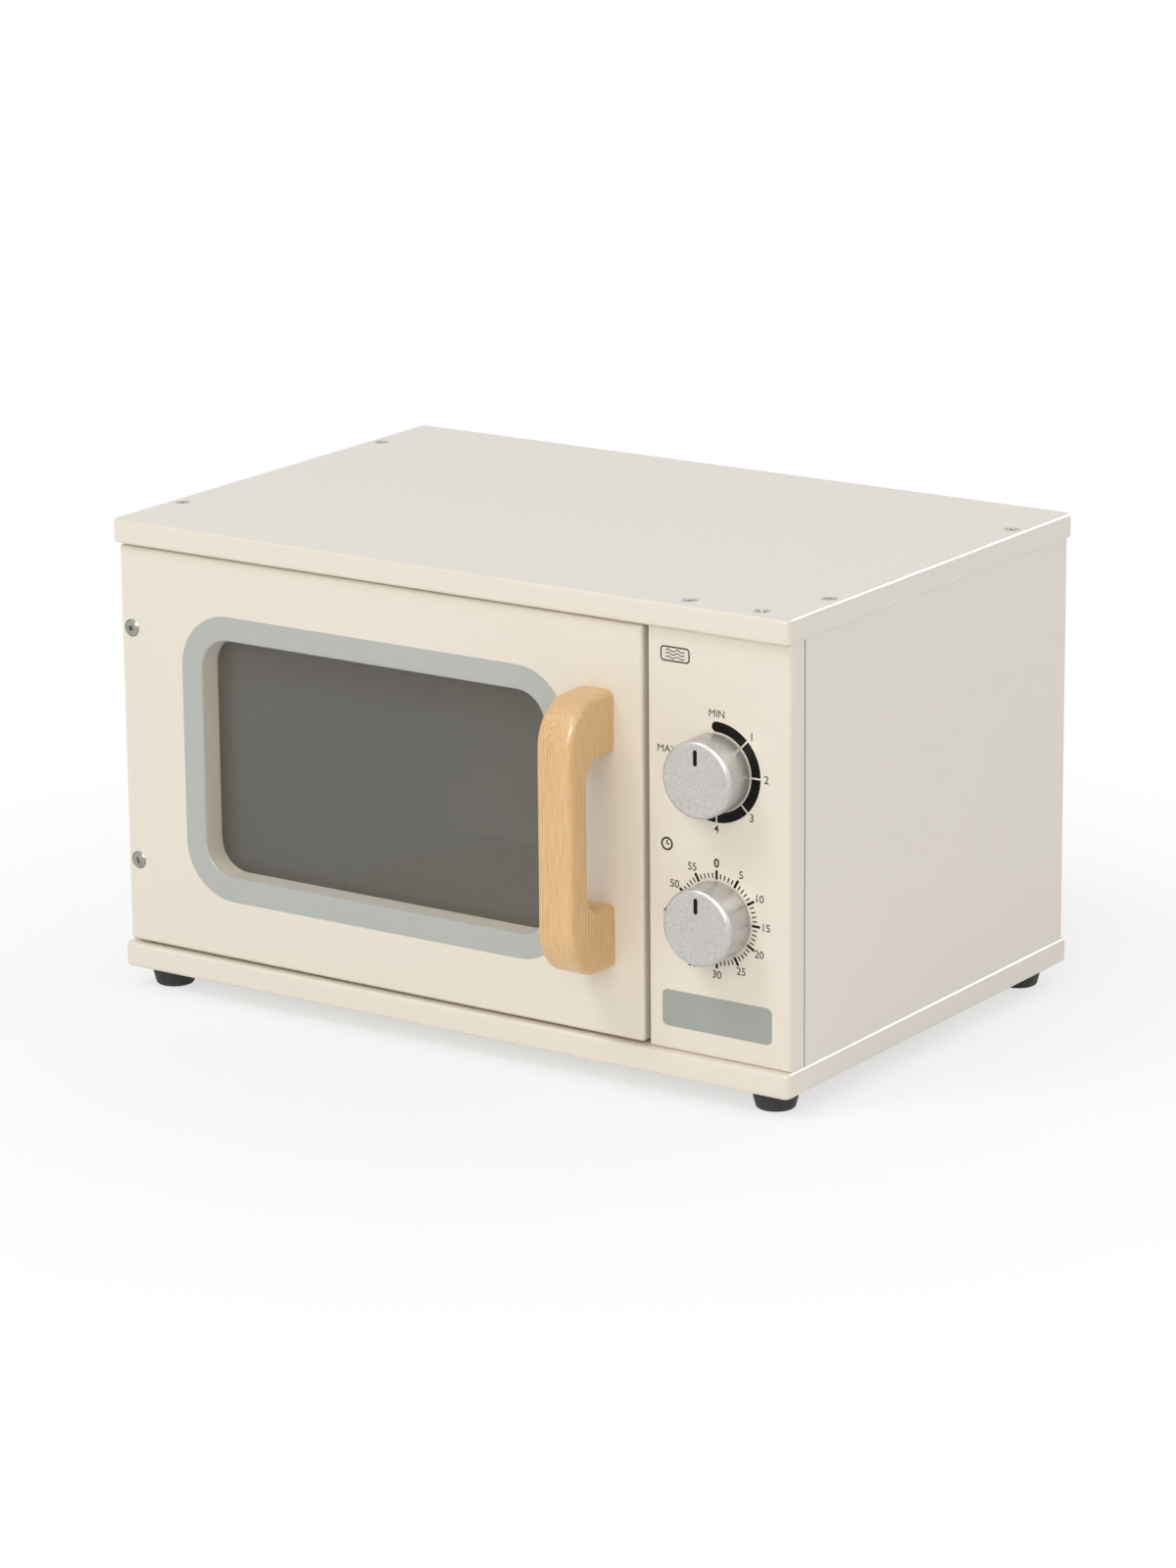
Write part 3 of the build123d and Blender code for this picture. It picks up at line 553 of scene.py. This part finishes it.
def joined(pieces, name):
    """Several pieces made one."""
    nothing_selected()
    for piece in pieces:
        piece.select_set(True)
    bpy.context.view_layer.objects.active = pieces[0]
    if len(pieces) > 1:
        bpy.ops.object.join()
    return named(bpy.context.object, name)


# %% [markdown]
# ## Flat shapes for the prints
# The prints are thin layers of ink. Each is drawn flat on a drawing board, where X runs right and Y
# runs up. A rectangle is a plane whose corners are bevelled. A piece of a ring is an edge spun about
# the dial's middle: that keeps its round sides even, however short the piece is.

# %% Flat shapes
def flat_rectangle(x, y, width, height, radius=0.0, steps=8):
    """A flat rectangle about a point, with rounded corners."""
    nothing_selected()
    bpy.ops.mesh.primitive_plane_add(size=1, location=(0, 0, 0))
    piece = bpy.context.object
    piece.scale = (width, height, 1)
    piece.location = (x, y, 0)
    settle(piece)
    if radius:
        edit_all(piece)
        bpy.ops.mesh.bevel(offset=radius, segments=steps, affect="VERTICES")
        bpy.ops.object.mode_set(mode="OBJECT")
    return piece


def flat_sector(inner, outer, start, end, steps):
    """A flat piece of a ring, between two angles counted clockwise from the top."""
    nothing_selected()
    bpy.ops.mesh.primitive_plane_add(size=1, location=(-0.5, (inner + outer) / 2, 0))
    piece = bpy.context.object
    piece.scale = (1, outer - inner, 1)
    settle(piece)
    choose(piece, lambda co: co.x < -0.5)
    bpy.ops.mesh.delete(type="VERT")
    bpy.ops.object.mode_set(mode="OBJECT")
    piece.rotation_euler = (0, 0, -start)
    settle(piece)
    edit_all(piece)
    bpy.ops.mesh.spin(steps=steps, angle=start - end, center=(0, 0, 0), axis=(0, 0, -1))
    bpy.ops.mesh.select_all(action="SELECT")
    bpy.ops.mesh.remove_doubles(threshold=0.000001)
    bpy.ops.mesh.normals_make_consistent(inside=False)
    bpy.ops.object.mode_set(mode="OBJECT")
    return piece


def flat_text(words, x, y, height, weight=0.00002):
    """Words or numbers about a point, as a flat mesh. The capitals have the height given."""
    nothing_selected()
    bpy.ops.object.text_add(location=(0, 0, 0))
    piece = bpy.context.object
    piece.data.body = words
    piece.data.align_x = "CENTER"
    piece.data.align_y = "CENTER"
    piece.data.size = height / 0.70
    piece.data.offset = weight
    piece.data.resolution_u = 6
    bpy.ops.object.convert(target="MESH")
    piece = bpy.context.object
    piece.location = (x, y, 0)
    return settle(piece)


INK = 0.08 * MM
SUNK = 0.02 * MM
print("ink is", INK, "m thick, and", SUNK, "m of it lies in the paint")

# %% [markdown]
# ## Print a drawing on a board
# A drawing gets its thickness from Solidify and is stood up on its board, a trace deeper than the
# face, so that no gap shows. An image could carry the drawing instead, but a thin mesh stays sharp
# up close and rides on its part like any other piece.

# %% Print a drawing
def face_up(piece):
    """Turns a flat piece's faces to look up from the drawing board."""
    for polygon in piece.data.polygons:
        if polygon.normal.z < 0:
            polygon.flip()


def print_on(piece, name, place, body, ink, turned=0.0):
    """Prints a flat drawing on an upright face, which looks forward unless it is turned."""
    only(piece)
    face_up(piece)
    solid = piece.modifiers.new("ink", "SOLIDIFY")
    solid.thickness = INK
    solid.offset = 1
    bpy.ops.object.modifier_apply(modifier=solid.name)
    inwards = Vector((-math.sin(turned), math.cos(turned), 0))
    piece.rotation_euler = (math.pi / 2, 0, turned)
    piece.location = Vector(place) + SUNK * inwards
    settle(piece)
    named(piece, name)
    piece.data.materials.clear()
    piece.data.materials.append(ink)
    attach(piece, body)
    print(name, len(piece.data.polygons), "faces")
    return piece


# %% [markdown]
# ## The grey band round the window
# The band is printed on the door and runs over the rounded edge of the opening. It starts as a
# rectangle, its corners are rounded, and then inset steps follow the flat and the rounded edge
# inwards. The last face, over the hole, is taken away. Insets keep the band's width even all round,
# which a scaled copy of the outline wouldn't.

# %% Model the window band
window_left = door_low[0] + 40.6 * MM
window_right = door_high[0] - 45.0 * MM
window_bottom = door_low[2] + 34.0 * MM
window_top = door_high[2] - 33.0 * MM
window_corner = 13.0 * MM
window_edge = 1.0 * MM
band_width = 10.0 * MM
edge_steps = 4
edge_turn = math.radians(18)


def window_band():
    width = window_right - window_left + 2 * band_width
    height = window_top - window_bottom + 2 * band_width
    piece = flat_rectangle(0, 0, width, height, window_corner + band_width, 14)
    edit_all(piece, "FACE")
    bpy.ops.mesh.inset(thickness=band_width - window_edge, depth=0)
    reached = 0.0
    sunk = 0.0
    for step in range(1, edge_steps + 1):
        out = window_edge * math.sin(edge_turn * step)
        down = window_edge * (1 - math.cos(edge_turn * step))
        bpy.ops.mesh.inset(thickness=out - reached, depth=sunk - down)
        reached, sunk = out, down
    bpy.ops.mesh.delete(type="FACE")
    bpy.ops.object.mode_set(mode="OBJECT")
    return piece


window_middle = ((window_left + window_right) / 2, door_face, (window_bottom + window_top) / 2)
print_on(window_band(), "window_band", window_middle, "door", grey_ink)

# %% [markdown]
# ## The grey patch and the small outline
# A plain grey patch lies at the foot of the control panel. Near the top is a thin outline with a sign
# in it: three waves, the usual sign of this kind of oven. The outline is a rounded rectangle with its
# middle taken out, and a wave is a thin bar that is cut across many times and swung up and down.

# %% Print the patch and the outline
patch_place = on_panel(31.0 * MM, 16.9 * MM)
patch_size = (49.6 * MM, 14.6 * MM)
patch_corner = 2.5 * MM
patch = flat_rectangle(0, 0, *patch_size, patch_corner)
print_on(patch, "panel_patch", patch_place, "case", dark_grey_ink)

sign_place = on_panel(12.6 * MM, 156.5 * MM)
sign_size = (13.2 * MM, 6.0 * MM)
sign_corner = 1.6 * MM
sign_line = 0.6 * MM
wave_length = 8.4 * MM
wave_swing = 0.38 * MM
wave_line = 0.42 * MM
wave_spacing = 1.35 * MM
wave_cuts = 31


def sign_outline():
    piece = flat_rectangle(0, 0, *sign_size, sign_corner)
    edit_all(piece, "FACE")
    bpy.ops.mesh.inset(thickness=sign_line, depth=0)
    bpy.ops.mesh.delete(type="FACE")
    bpy.ops.object.mode_set(mode="OBJECT")
    return piece


def wave(y):
    """A wavy line of two full swings, at a height."""
    piece = flat_rectangle(0, 0, wave_length, wave_line)
    edit_all(piece)
    bpy.ops.mesh.subdivide(number_cuts=wave_cuts)
    bpy.ops.mesh.select_all(action="DESELECT")
    bpy.ops.object.mode_set(mode="OBJECT")
    for vertex in piece.data.vertices:
        vertex.co.y += wave_swing * math.sin(4 * math.pi * vertex.co.x / wave_length)
    piece.location = (0, y, 0)
    return settle(piece)


waves = [wave(step * wave_spacing) for step in (-1, 0, 1)]
sign = joined([sign_outline()] + waves, "panel_sign")
print_on(sign, "panel_sign", sign_place, "case", brown_ink_and_painted_shade)

# %% [markdown]
# ## The upper dial
# A black arc starts with a round end over the knob and runs clockwise. Narrow gaps part it at each
# number. Each stretch is an edge spun round the knob's axis, and a gap is simply left out between
# two of them. The numbers are Blender's own text, made into a mesh.

# %% Print the upper dial
arc_inner = 15.7 * MM
arc_outer = 19.7 * MM
arc_middle = (arc_inner + arc_outer) / 2
arc_step = math.radians(45)
arc_end = math.radians(285)
arc_gap = 0.7 * MM
facet = math.radians(3)
label_reach = 22.3 * MM
label_height = 3.1 * MM
word_height = 2.9 * MM
least_place = (0.2 * MM, 22.6 * MM)
most_place = (-22.2 * MM, 5.8 * MM)


def arc_stretch(start, end):
    steps = max(4, round((end - start) / facet))
    return flat_sector(arc_inner, arc_outer, start, end, steps)


def around(reach, angle):
    """A point at a distance from the dial's middle, at an angle clockwise from the top."""
    return (reach * math.sin(angle), reach * math.cos(angle))


def round_end(angle, turned_by):
    """A half disc that closes the arc at one angle."""
    cap = flat_sector(0, (arc_outer - arc_inner) / 2, 0, math.pi, 14)
    cap.rotation_euler = (0, 0, turned_by - angle)
    cap.location = (*around(arc_middle, angle), 0)
    return settle(cap)


def power_scale():
    half_gap = arc_gap / 2 / arc_middle
    starts = [step * arc_step + (half_gap if step else 0) for step in range(7)]
    ends = [step * arc_step - half_gap for step in range(1, 7)] + [arc_end]
    pieces = [arc_stretch(start, end) for start, end in zip(starts, ends)]
    pieces.append(round_end(0, math.pi))
    pieces.append(round_end(arc_end, 0))
    return joined(pieces, "power_scale")


print_on(power_scale(), "power_scale", power_dial, "case", black_ink)
labels = [
    flat_text(str(number), *around(label_reach, number * arc_step), label_height)
    for number in range(1, 6)
]
labels.append(flat_text("MIN", *least_place, word_height, weight=0))
labels.append(flat_text("MAX", *most_place, word_height, weight=0))
print_on(joined(labels, "power_numbers"), "power_numbers", power_dial, "case", brown_ink_and_painted_shade)

# %% [markdown]
# ## The lower dial
# The timer has a tick for each minute and a longer, bolder tick and a number for every fifth. One
# tick of each kind is drawn, and its copies are turned round the dial.

# %% Print the lower dial
minor_reach = (16.2 * MM, 18.2 * MM)
major_reach = (15.8 * MM, 19.4 * MM)
minor_width = 0.5 * MM
major_width = 1.05 * MM
number_reach = 22.0 * MM
number_height = 3.0 * MM
zero_height = 3.4 * MM
zero_weight = 0.08 * MM
minute_turn = math.radians(6)


def tick(reach, width):
    middle = (reach[0] + reach[1]) / 2
    return flat_rectangle(0, middle, width, reach[1] - reach[0])


def turned_copy(piece, angle):
    """A copy with its own mesh, turned clockwise about the dial's middle."""
    copy = piece.copy()
    copy.data = piece.data.copy()
    bpy.context.scene.collection.objects.link(copy)
    copy.rotation_euler = (0, 0, -angle)
    return settle(copy)


def timer_scale():
    minor = tick(minor_reach, minor_width)
    major = tick(major_reach, major_width)
    pieces = []
    for minute in range(1, 60):
        source = minor if minute % 5 else major
        pieces.append(turned_copy(source, minute_turn * minute))
    nothing_selected()
    bpy.data.objects.remove(minor)
    return joined([major] + pieces, "timer_scale")


print_on(timer_scale(), "timer_scale", timer_dial, "case", black_ink)
labels = [
    flat_text(str(minute), *around(number_reach, minute_turn * minute), number_height)
    for minute in range(5, 60, 5)
]
print_on(joined(labels, "timer_numbers"), "timer_numbers", timer_dial, "case", brown_ink_and_painted_shade)
zero = flat_text("0", 0, number_reach, zero_height, zero_weight)
print_on(zero, "timer_zero", timer_dial, "case", black_ink)

# %% [markdown]
# ## The timer's sign
# A small clock over the lower dial says what it is for: a ring and two hands. The ring is a sector
# that goes all the way round, and each hand is a thin bar that reaches a little past the middle.

# %% Print the clock
clock_place = on_panel(8.6 * MM, 82.0 * MM)
clock_inner = 1.95 * MM
clock_outer = 2.65 * MM
hand_width = 0.52 * MM
long_hand = 1.8 * MM
short_hand = 1.4 * MM
hand_back = 0.25 * MM


def clock_sign():
    ring = flat_sector(clock_inner, clock_outer, 0, 2 * math.pi, 36)
    minutes = flat_rectangle(0, long_hand / 2 - hand_back, hand_width, long_hand)
    hours = flat_rectangle(short_hand / 2 - hand_back, 0, short_hand, hand_width)
    return joined([ring, minutes, hours], "timer_sign")


print_on(clock_sign(), "timer_sign", clock_place, "case", black_ink)

# %% [markdown]
# ## The knobs' pointers
# A short black bar with round ends is printed on each knob's face. It rides on its knob, so it turns
# with it. Its corners are rounded by almost half its width, which leaves a trace of a straight end
# and keeps the bevel from folding over.

# %% Print the pointers
pointer_width = 1.7 * MM
pointer_length = 6.3 * MM
pointer_reach = 8.8 * MM
pointer_corner = 0.499 * pointer_width
for name, place in (("power", power_knob), ("timer", timer_knob)):
    bar = flat_rectangle(0, pointer_reach, pointer_width, pointer_length, pointer_corner)
    print_on(bar, name + "_pointer", place, name + "_control", black_ink)

# %% [markdown]
# ## The painted shadow beside the control panel
# The control panel covers the end of the side board. On the real toy the two meet in a fine
# shadow line. In the construction model they touch without a gap, so that shadow is painted on,
# as a thin dark strip on the side board's face.

# %% Paint the shadow line at the joint
side_low, side_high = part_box("right_side_panel")
# A thin dark strip of painted shadow, where the side board meets the control panel.
seam_shadow_width = 0.36 * MM
seam_shadow_strip = flat_rectangle(0, 0, seam_shadow_width, panel_high[2] - panel_low[2])
seam_shadow_place = (side_high[0], panel_high[1], (panel_high[2] + panel_low[2]) / 2)
print_on(seam_shadow_strip, "painted_seam_shadow", seam_shadow_place, "case", brown_ink_and_painted_shade, turned=math.pi / 2)

# %% [markdown]
# ## Screw heads
# The construction model has plain screws. Six in the lid and the two bolts at the door's left edge
# are seen close by, so they get a real head: a low dome over a cone, with a cross pressed into it.
# The first helper spins the outline of half a screw round its axis, which keeps the head truly round.

# %% Spin an outline
def spun(points, steps=40):
    """A solid of revolution about Z, from (radius, height) points that start and end on the axis."""
    nothing_selected()
    bpy.ops.mesh.primitive_plane_add(size=1, location=(-0.5, -0.5, points[0][1]))
    piece = settle(bpy.context.object)
    choose(piece, lambda co: co.x < -0.5 or co.y < -0.5)
    bpy.ops.mesh.delete(type="VERT")
    bpy.ops.mesh.select_all(action="SELECT")
    for (radius, height), (next_radius, next_height) in zip(points, points[1:]):
        step = (next_radius - radius, 0, next_height - height)
        bpy.ops.mesh.extrude_region_move(TRANSFORM_OT_translate={"value": step})
    bpy.ops.mesh.select_all(action="SELECT")
    bpy.ops.mesh.spin(steps=steps, angle=2 * math.pi, center=(0, 0, 0), axis=(0, 0, 1))
    bpy.ops.mesh.select_all(action="SELECT")
    bpy.ops.mesh.remove_doubles(threshold=0.000002)
    bpy.ops.mesh.normals_make_consistent(inside=False)
    bpy.ops.object.mode_set(mode="OBJECT")
    return piece


# %% [markdown]
# ## The pressed cross
# A screwdriver's cross is pressed into each head and narrows downwards. Two tapered blocks are cut
# out of the head with a Boolean, which gives the recess its crisp inner edges.

# %% Cut the cross
rim_height = 0.25 * MM
dome_shares = (0.25, 0.5, 0.75, 0.92)
arm_share = 1.25
arm_width_share = 0.24
arm_depth_share = 0.35
arm_taper = (0.35, 0.6, 1)


def recess_blade(length, width, depth, top):
    """One arm of the cross: a block that narrows downwards."""
    nothing_selected()
    bpy.ops.mesh.primitive_cube_add(size=1, location=(0, 0, 0))
    piece = bpy.context.object
    piece.scale = (length, width, 2 * depth)
    piece.location = (0, 0, top)
    settle(piece)
    choose(piece, lambda co: co.z < top)
    bpy.ops.transform.resize(value=arm_taper)
    bpy.ops.object.mode_set(mode="OBJECT")
    return piece


def cut(piece, tool):
    """Takes a tool's shape out of a piece."""
    only(piece)
    hole = piece.modifiers.new("hole", "BOOLEAN")
    hole.operation = "DIFFERENCE"
    hole.solver = "EXACT"
    hole.object = tool
    bpy.ops.object.modifier_apply(modifier=hole.name)
    bpy.data.objects.remove(tool)


def cross_screw(radius, dome, shank, length):
    """A countersunk screw with its head's rim at height 0, pointing down."""
    points = [(0, dome)]
    points += [(radius * share, dome * (1 - share ** 2)) for share in dome_shares]
    points += [(radius, 0), (radius, -rim_height), (shank, shank - radius - rim_height)]
    points += [(shank, shank - length), (0, -length)]
    piece = spun(points)
    for angle in (0, math.pi / 2):
        blade = recess_blade(arm_share * radius, arm_width_share * radius,
                             arm_depth_share * radius, dome)
        blade.rotation_euler = (0, 0, angle)
        cut(piece, settle(blade))
    only(piece)
    bpy.ops.object.shade_smooth_by_angle(angle=math.radians(30))
    return piece


print("each arm of the cross reaches", arm_share / 2, "of the head's radius from its middle")

# %% [markdown]
# ## Set the screws
# Each head is sunk a little, so that its rim lies under the painted face. The places come from the
# box round the plain screws and from the middle of the control panel. Each head is turned
# differently, as a screwdriver leaves them.

# %% Replace the plain screws
first_turn = math.radians(23)
next_turn = math.radians(37)
rim_gap = 0.02 * MM


def set_screws(name, replaced, body, places, turned_by, sizes, finish):
    """Screws of one kind, joined into the piece that stands for the plain ones."""
    pieces = []
    for number, place in enumerate(places):
        piece = cross_screw(*sizes)
        piece.rotation_euler = (0, 0, first_turn + next_turn * number)
        settle(piece)
        piece.rotation_euler = turned_by
        piece.location = place
        pieces.append(settle(piece))
    piece = joined(pieces, name)
    piece.data.materials.clear()
    piece.data.materials.append(finish)
    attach(piece, body)
    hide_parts(replaced)
    print(name, len(places), "screws")


lid_low, lid_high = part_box("lid_screws")
lid_head = 3.3 * MM
lid_dome = 0.28 * MM
lid_sink = 0.3 * MM
lid_shank = 1.7 * MM
lid_length = 29 * MM
side_spacing = 136 * MM
front_spacing = 32 * MM
lid_level = lid_high[2] - lid_sink
back_row = lid_high[1] - lid_head
front_row = lid_low[1] + lid_head
panel_middle = (panel_low[0] + panel_high[0]) / 2
lid_places = [
    (x, y, lid_level)
    for x in (lid_low[0] + lid_head, lid_high[0] - lid_head)
    for y in (back_row, back_row - side_spacing)
]
lid_places += [(panel_middle + way * front_spacing / 2, front_row, lid_level) for way in (-1, 1)]
lid_sizes = (lid_head - rim_gap, lid_dome, lid_shank, lid_length)
set_screws("lid_screw_heads", "lid_screws", "case", lid_places, (0, 0, 0), lid_sizes, zinc_steel)

bolt_low, bolt_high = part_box("hinge_bolts")
bolt_head = (bolt_high[0] - bolt_low[0]) / 2
bolt_dome = 1.2 * MM
bolt_shank = 1.45 * MM
bolt_levels = (bolt_low[2] + bolt_head, bolt_high[2] - bolt_head)
bolt_places = [(bolt_low[0] + bolt_head, bolt_low[1], level) for level in bolt_levels]
bolt_sizes = (bolt_head - rim_gap, bolt_dome, bolt_shank, bolt_high[1] - bolt_low[1])
set_screws("hinge_bolt_heads", "hinge_bolts", "door", bolt_places, (math.pi / 2, 0, 0), bolt_sizes,
           bolt_steel)

# %% [markdown]
# ## The floor
# The toy stands on a white floor. Far from it the floor fades to the plain white of the backdrop,
# and close to it the floor keeps the shadow. Only the camera and mirrored or passed rays see the
# added white, so it throws no light on the toy.

# %% Floor
def floor_finish():
    material = bpy.data.materials.new("floor_white")
    material.use_nodes = True
    tree = material.node_tree
    shader = tree.nodes["Principled BSDF"]
    shader.inputs["Base Color"].default_value = (0.93, 0.93, 0.93, 1)
    shader.inputs["Roughness"].default_value = 0.9
    place = add_node(tree, "ShaderNodeTexCoord")
    far = add_node(tree, "ShaderNodeVectorMath", operation="LENGTH")
    join(tree, place.outputs["Object"], far.inputs[0])
    fade = add_node(tree, "ShaderNodeMapRange",
                    {"From Min": 0.1, "From Max": 0.45, "To Min": 0.6, "To Max": 1.0},
                    interpolation_type="SMOOTHSTEP")
    join(tree, far.outputs["Value"], fade.inputs["Value"])
    rays = add_node(tree, "ShaderNodeLightPath")
    mirrored = add_node(tree, "ShaderNodeMath", operation="MAXIMUM")
    join(tree, rays.outputs["Is Glossy Ray"], mirrored.inputs[0])
    join(tree, rays.outputs["Is Transmission Ray"], mirrored.inputs[1])
    seen = add_node(tree, "ShaderNodeMath", operation="MAXIMUM")
    join(tree, rays.outputs["Is Camera Ray"], seen.inputs[0])
    join(tree, mirrored.outputs[0], seen.inputs[1])
    shown = add_node(tree, "ShaderNodeMath", operation="MULTIPLY")
    join(tree, fade.outputs["Result"], shown.inputs[0])
    join(tree, seen.outputs[0], shown.inputs[1])
    white = add_node(tree, "ShaderNodeEmission", {"Color": (1, 1, 1, 1), "Strength": 1.0})
    mix = add_node(tree, "ShaderNodeMixShader")
    join(tree, shown.outputs[0], mix.inputs[0])
    join(tree, shader.outputs[0], mix.inputs[1])
    join(tree, white.outputs[0], mix.inputs[2])
    join(tree, mix.outputs[0], tree.nodes["Material Output"].inputs["Surface"])
    return material


nothing_selected()
bpy.ops.mesh.primitive_plane_add(size=12, location=(0, 0, 0))
floor = bpy.context.object
floor.name = "floor"
floor.data.materials.append(floor_finish())
print("floor", [round(v) for v in floor.dimensions], "m")

# %% [markdown]
# ## The room
# The room gives an even, soft light from all round. The camera, and what metal, gloss or the window
# mirrors, see the same plain white as the floor's far part instead.

# %% World
def set_world():
    world = bpy.data.worlds.new("studio")
    bpy.context.scene.world = world
    world.use_nodes = True
    tree = world.node_tree
    room = tree.nodes["Background"]
    room.inputs["Color"].default_value = (1, 1, 1, 1)
    room.inputs["Strength"].default_value = 0.5
    backdrop = add_node(tree, "ShaderNodeBackground", {"Color": (1, 1, 1, 1), "Strength": 1.0})
    rays = add_node(tree, "ShaderNodeLightPath")
    mirror = add_node(tree, "ShaderNodeMath", operation="MAXIMUM")
    join(tree, rays.outputs["Is Camera Ray"], mirror.inputs[0])
    join(tree, rays.outputs["Is Glossy Ray"], mirror.inputs[1])
    through = add_node(tree, "ShaderNodeMath", operation="MAXIMUM")
    join(tree, mirror.outputs[0], through.inputs[0])
    join(tree, rays.outputs["Is Transmission Ray"], through.inputs[1])
    mix = add_node(tree, "ShaderNodeMixShader")
    join(tree, through.outputs[0], mix.inputs[0])
    join(tree, room.outputs[0], mix.inputs[1])
    join(tree, backdrop.outputs[0], mix.inputs[2])
    join(tree, mix.outputs[0], tree.nodes["World Output"].inputs["Surface"])
    return world


print("world", set_world().name)

# %% [markdown]
# ## Soft light
# A wide lamp high on the left lights the front and the lid, and throws the handle's shadow down to
# the right. Weaker lamps open up the front, the right side and the back. In the photograph a bright
# line runs along the rounded edges on the right: they mirror a large light behind the toy. The rim
# light does the same. A second one near the camera gives the lacquered handle its glint. Both show
# in reflections alone, so that they don't bleach the paint.

# %% Lamps
toy_middle = (0, 0, 0.1)
handle_top = (0.05, -0.11, 0.15)


def lamp(name, place, size, power, tone=(1, 1, 1), target=toy_middle):
    """A round lamp of a size in metres and a power in watts, aimed at a point."""
    data = bpy.data.lights.new(name, "AREA")
    data.shape = "DISK"
    data.size = size
    data.energy = power
    data.color = tone
    piece = bpy.data.objects.new(name, data)
    bpy.context.scene.collection.objects.link(piece)
    aim = (Vector(target) - Vector(place)).to_track_quat("-Z", "Y")
    piece.matrix_world = Matrix.Translation(place) @ aim.to_matrix().to_4x4()
    return piece


lamp("key_light", (-0.9, -1.6, 2.6), size=1.1, power=23.4, tone=(0.93, 1.0, 1.16))
lamp("front_fill", (0.4, -2.3, 1.2), size=1.6, power=16, tone=(1.05, 0.98, 0.81))
lamp("side_fill", (2.2, 0.2, 1.0), size=1.4, power=7.0, tone=(0.91, 0.96, 1.24))
lamp("back_light", (0.4, 2.5, 0.7), size=1.2, power=8, tone=(0.97, 1.0, 1.08))
rim = lamp("rim_light", (0.75, 2.25, 1.55), size=1.4, power=48)
glint = lamp("glint_light", (1.18, -1.88, 1.5), size=0.55, power=60, target=handle_top)
for mirrored in (rim, glint):
    mirrored.visible_diffuse = False

# %% [markdown]
# ## Colours as they are written
# The Standard view shows a colour as it was chosen. A filmic view would turn the white floor grey
# and the cream paint dull.

# %% Colour settings
bpy.context.scene.view_settings.view_transform = "Standard"
print("view", bpy.context.scene.view_settings.view_transform)
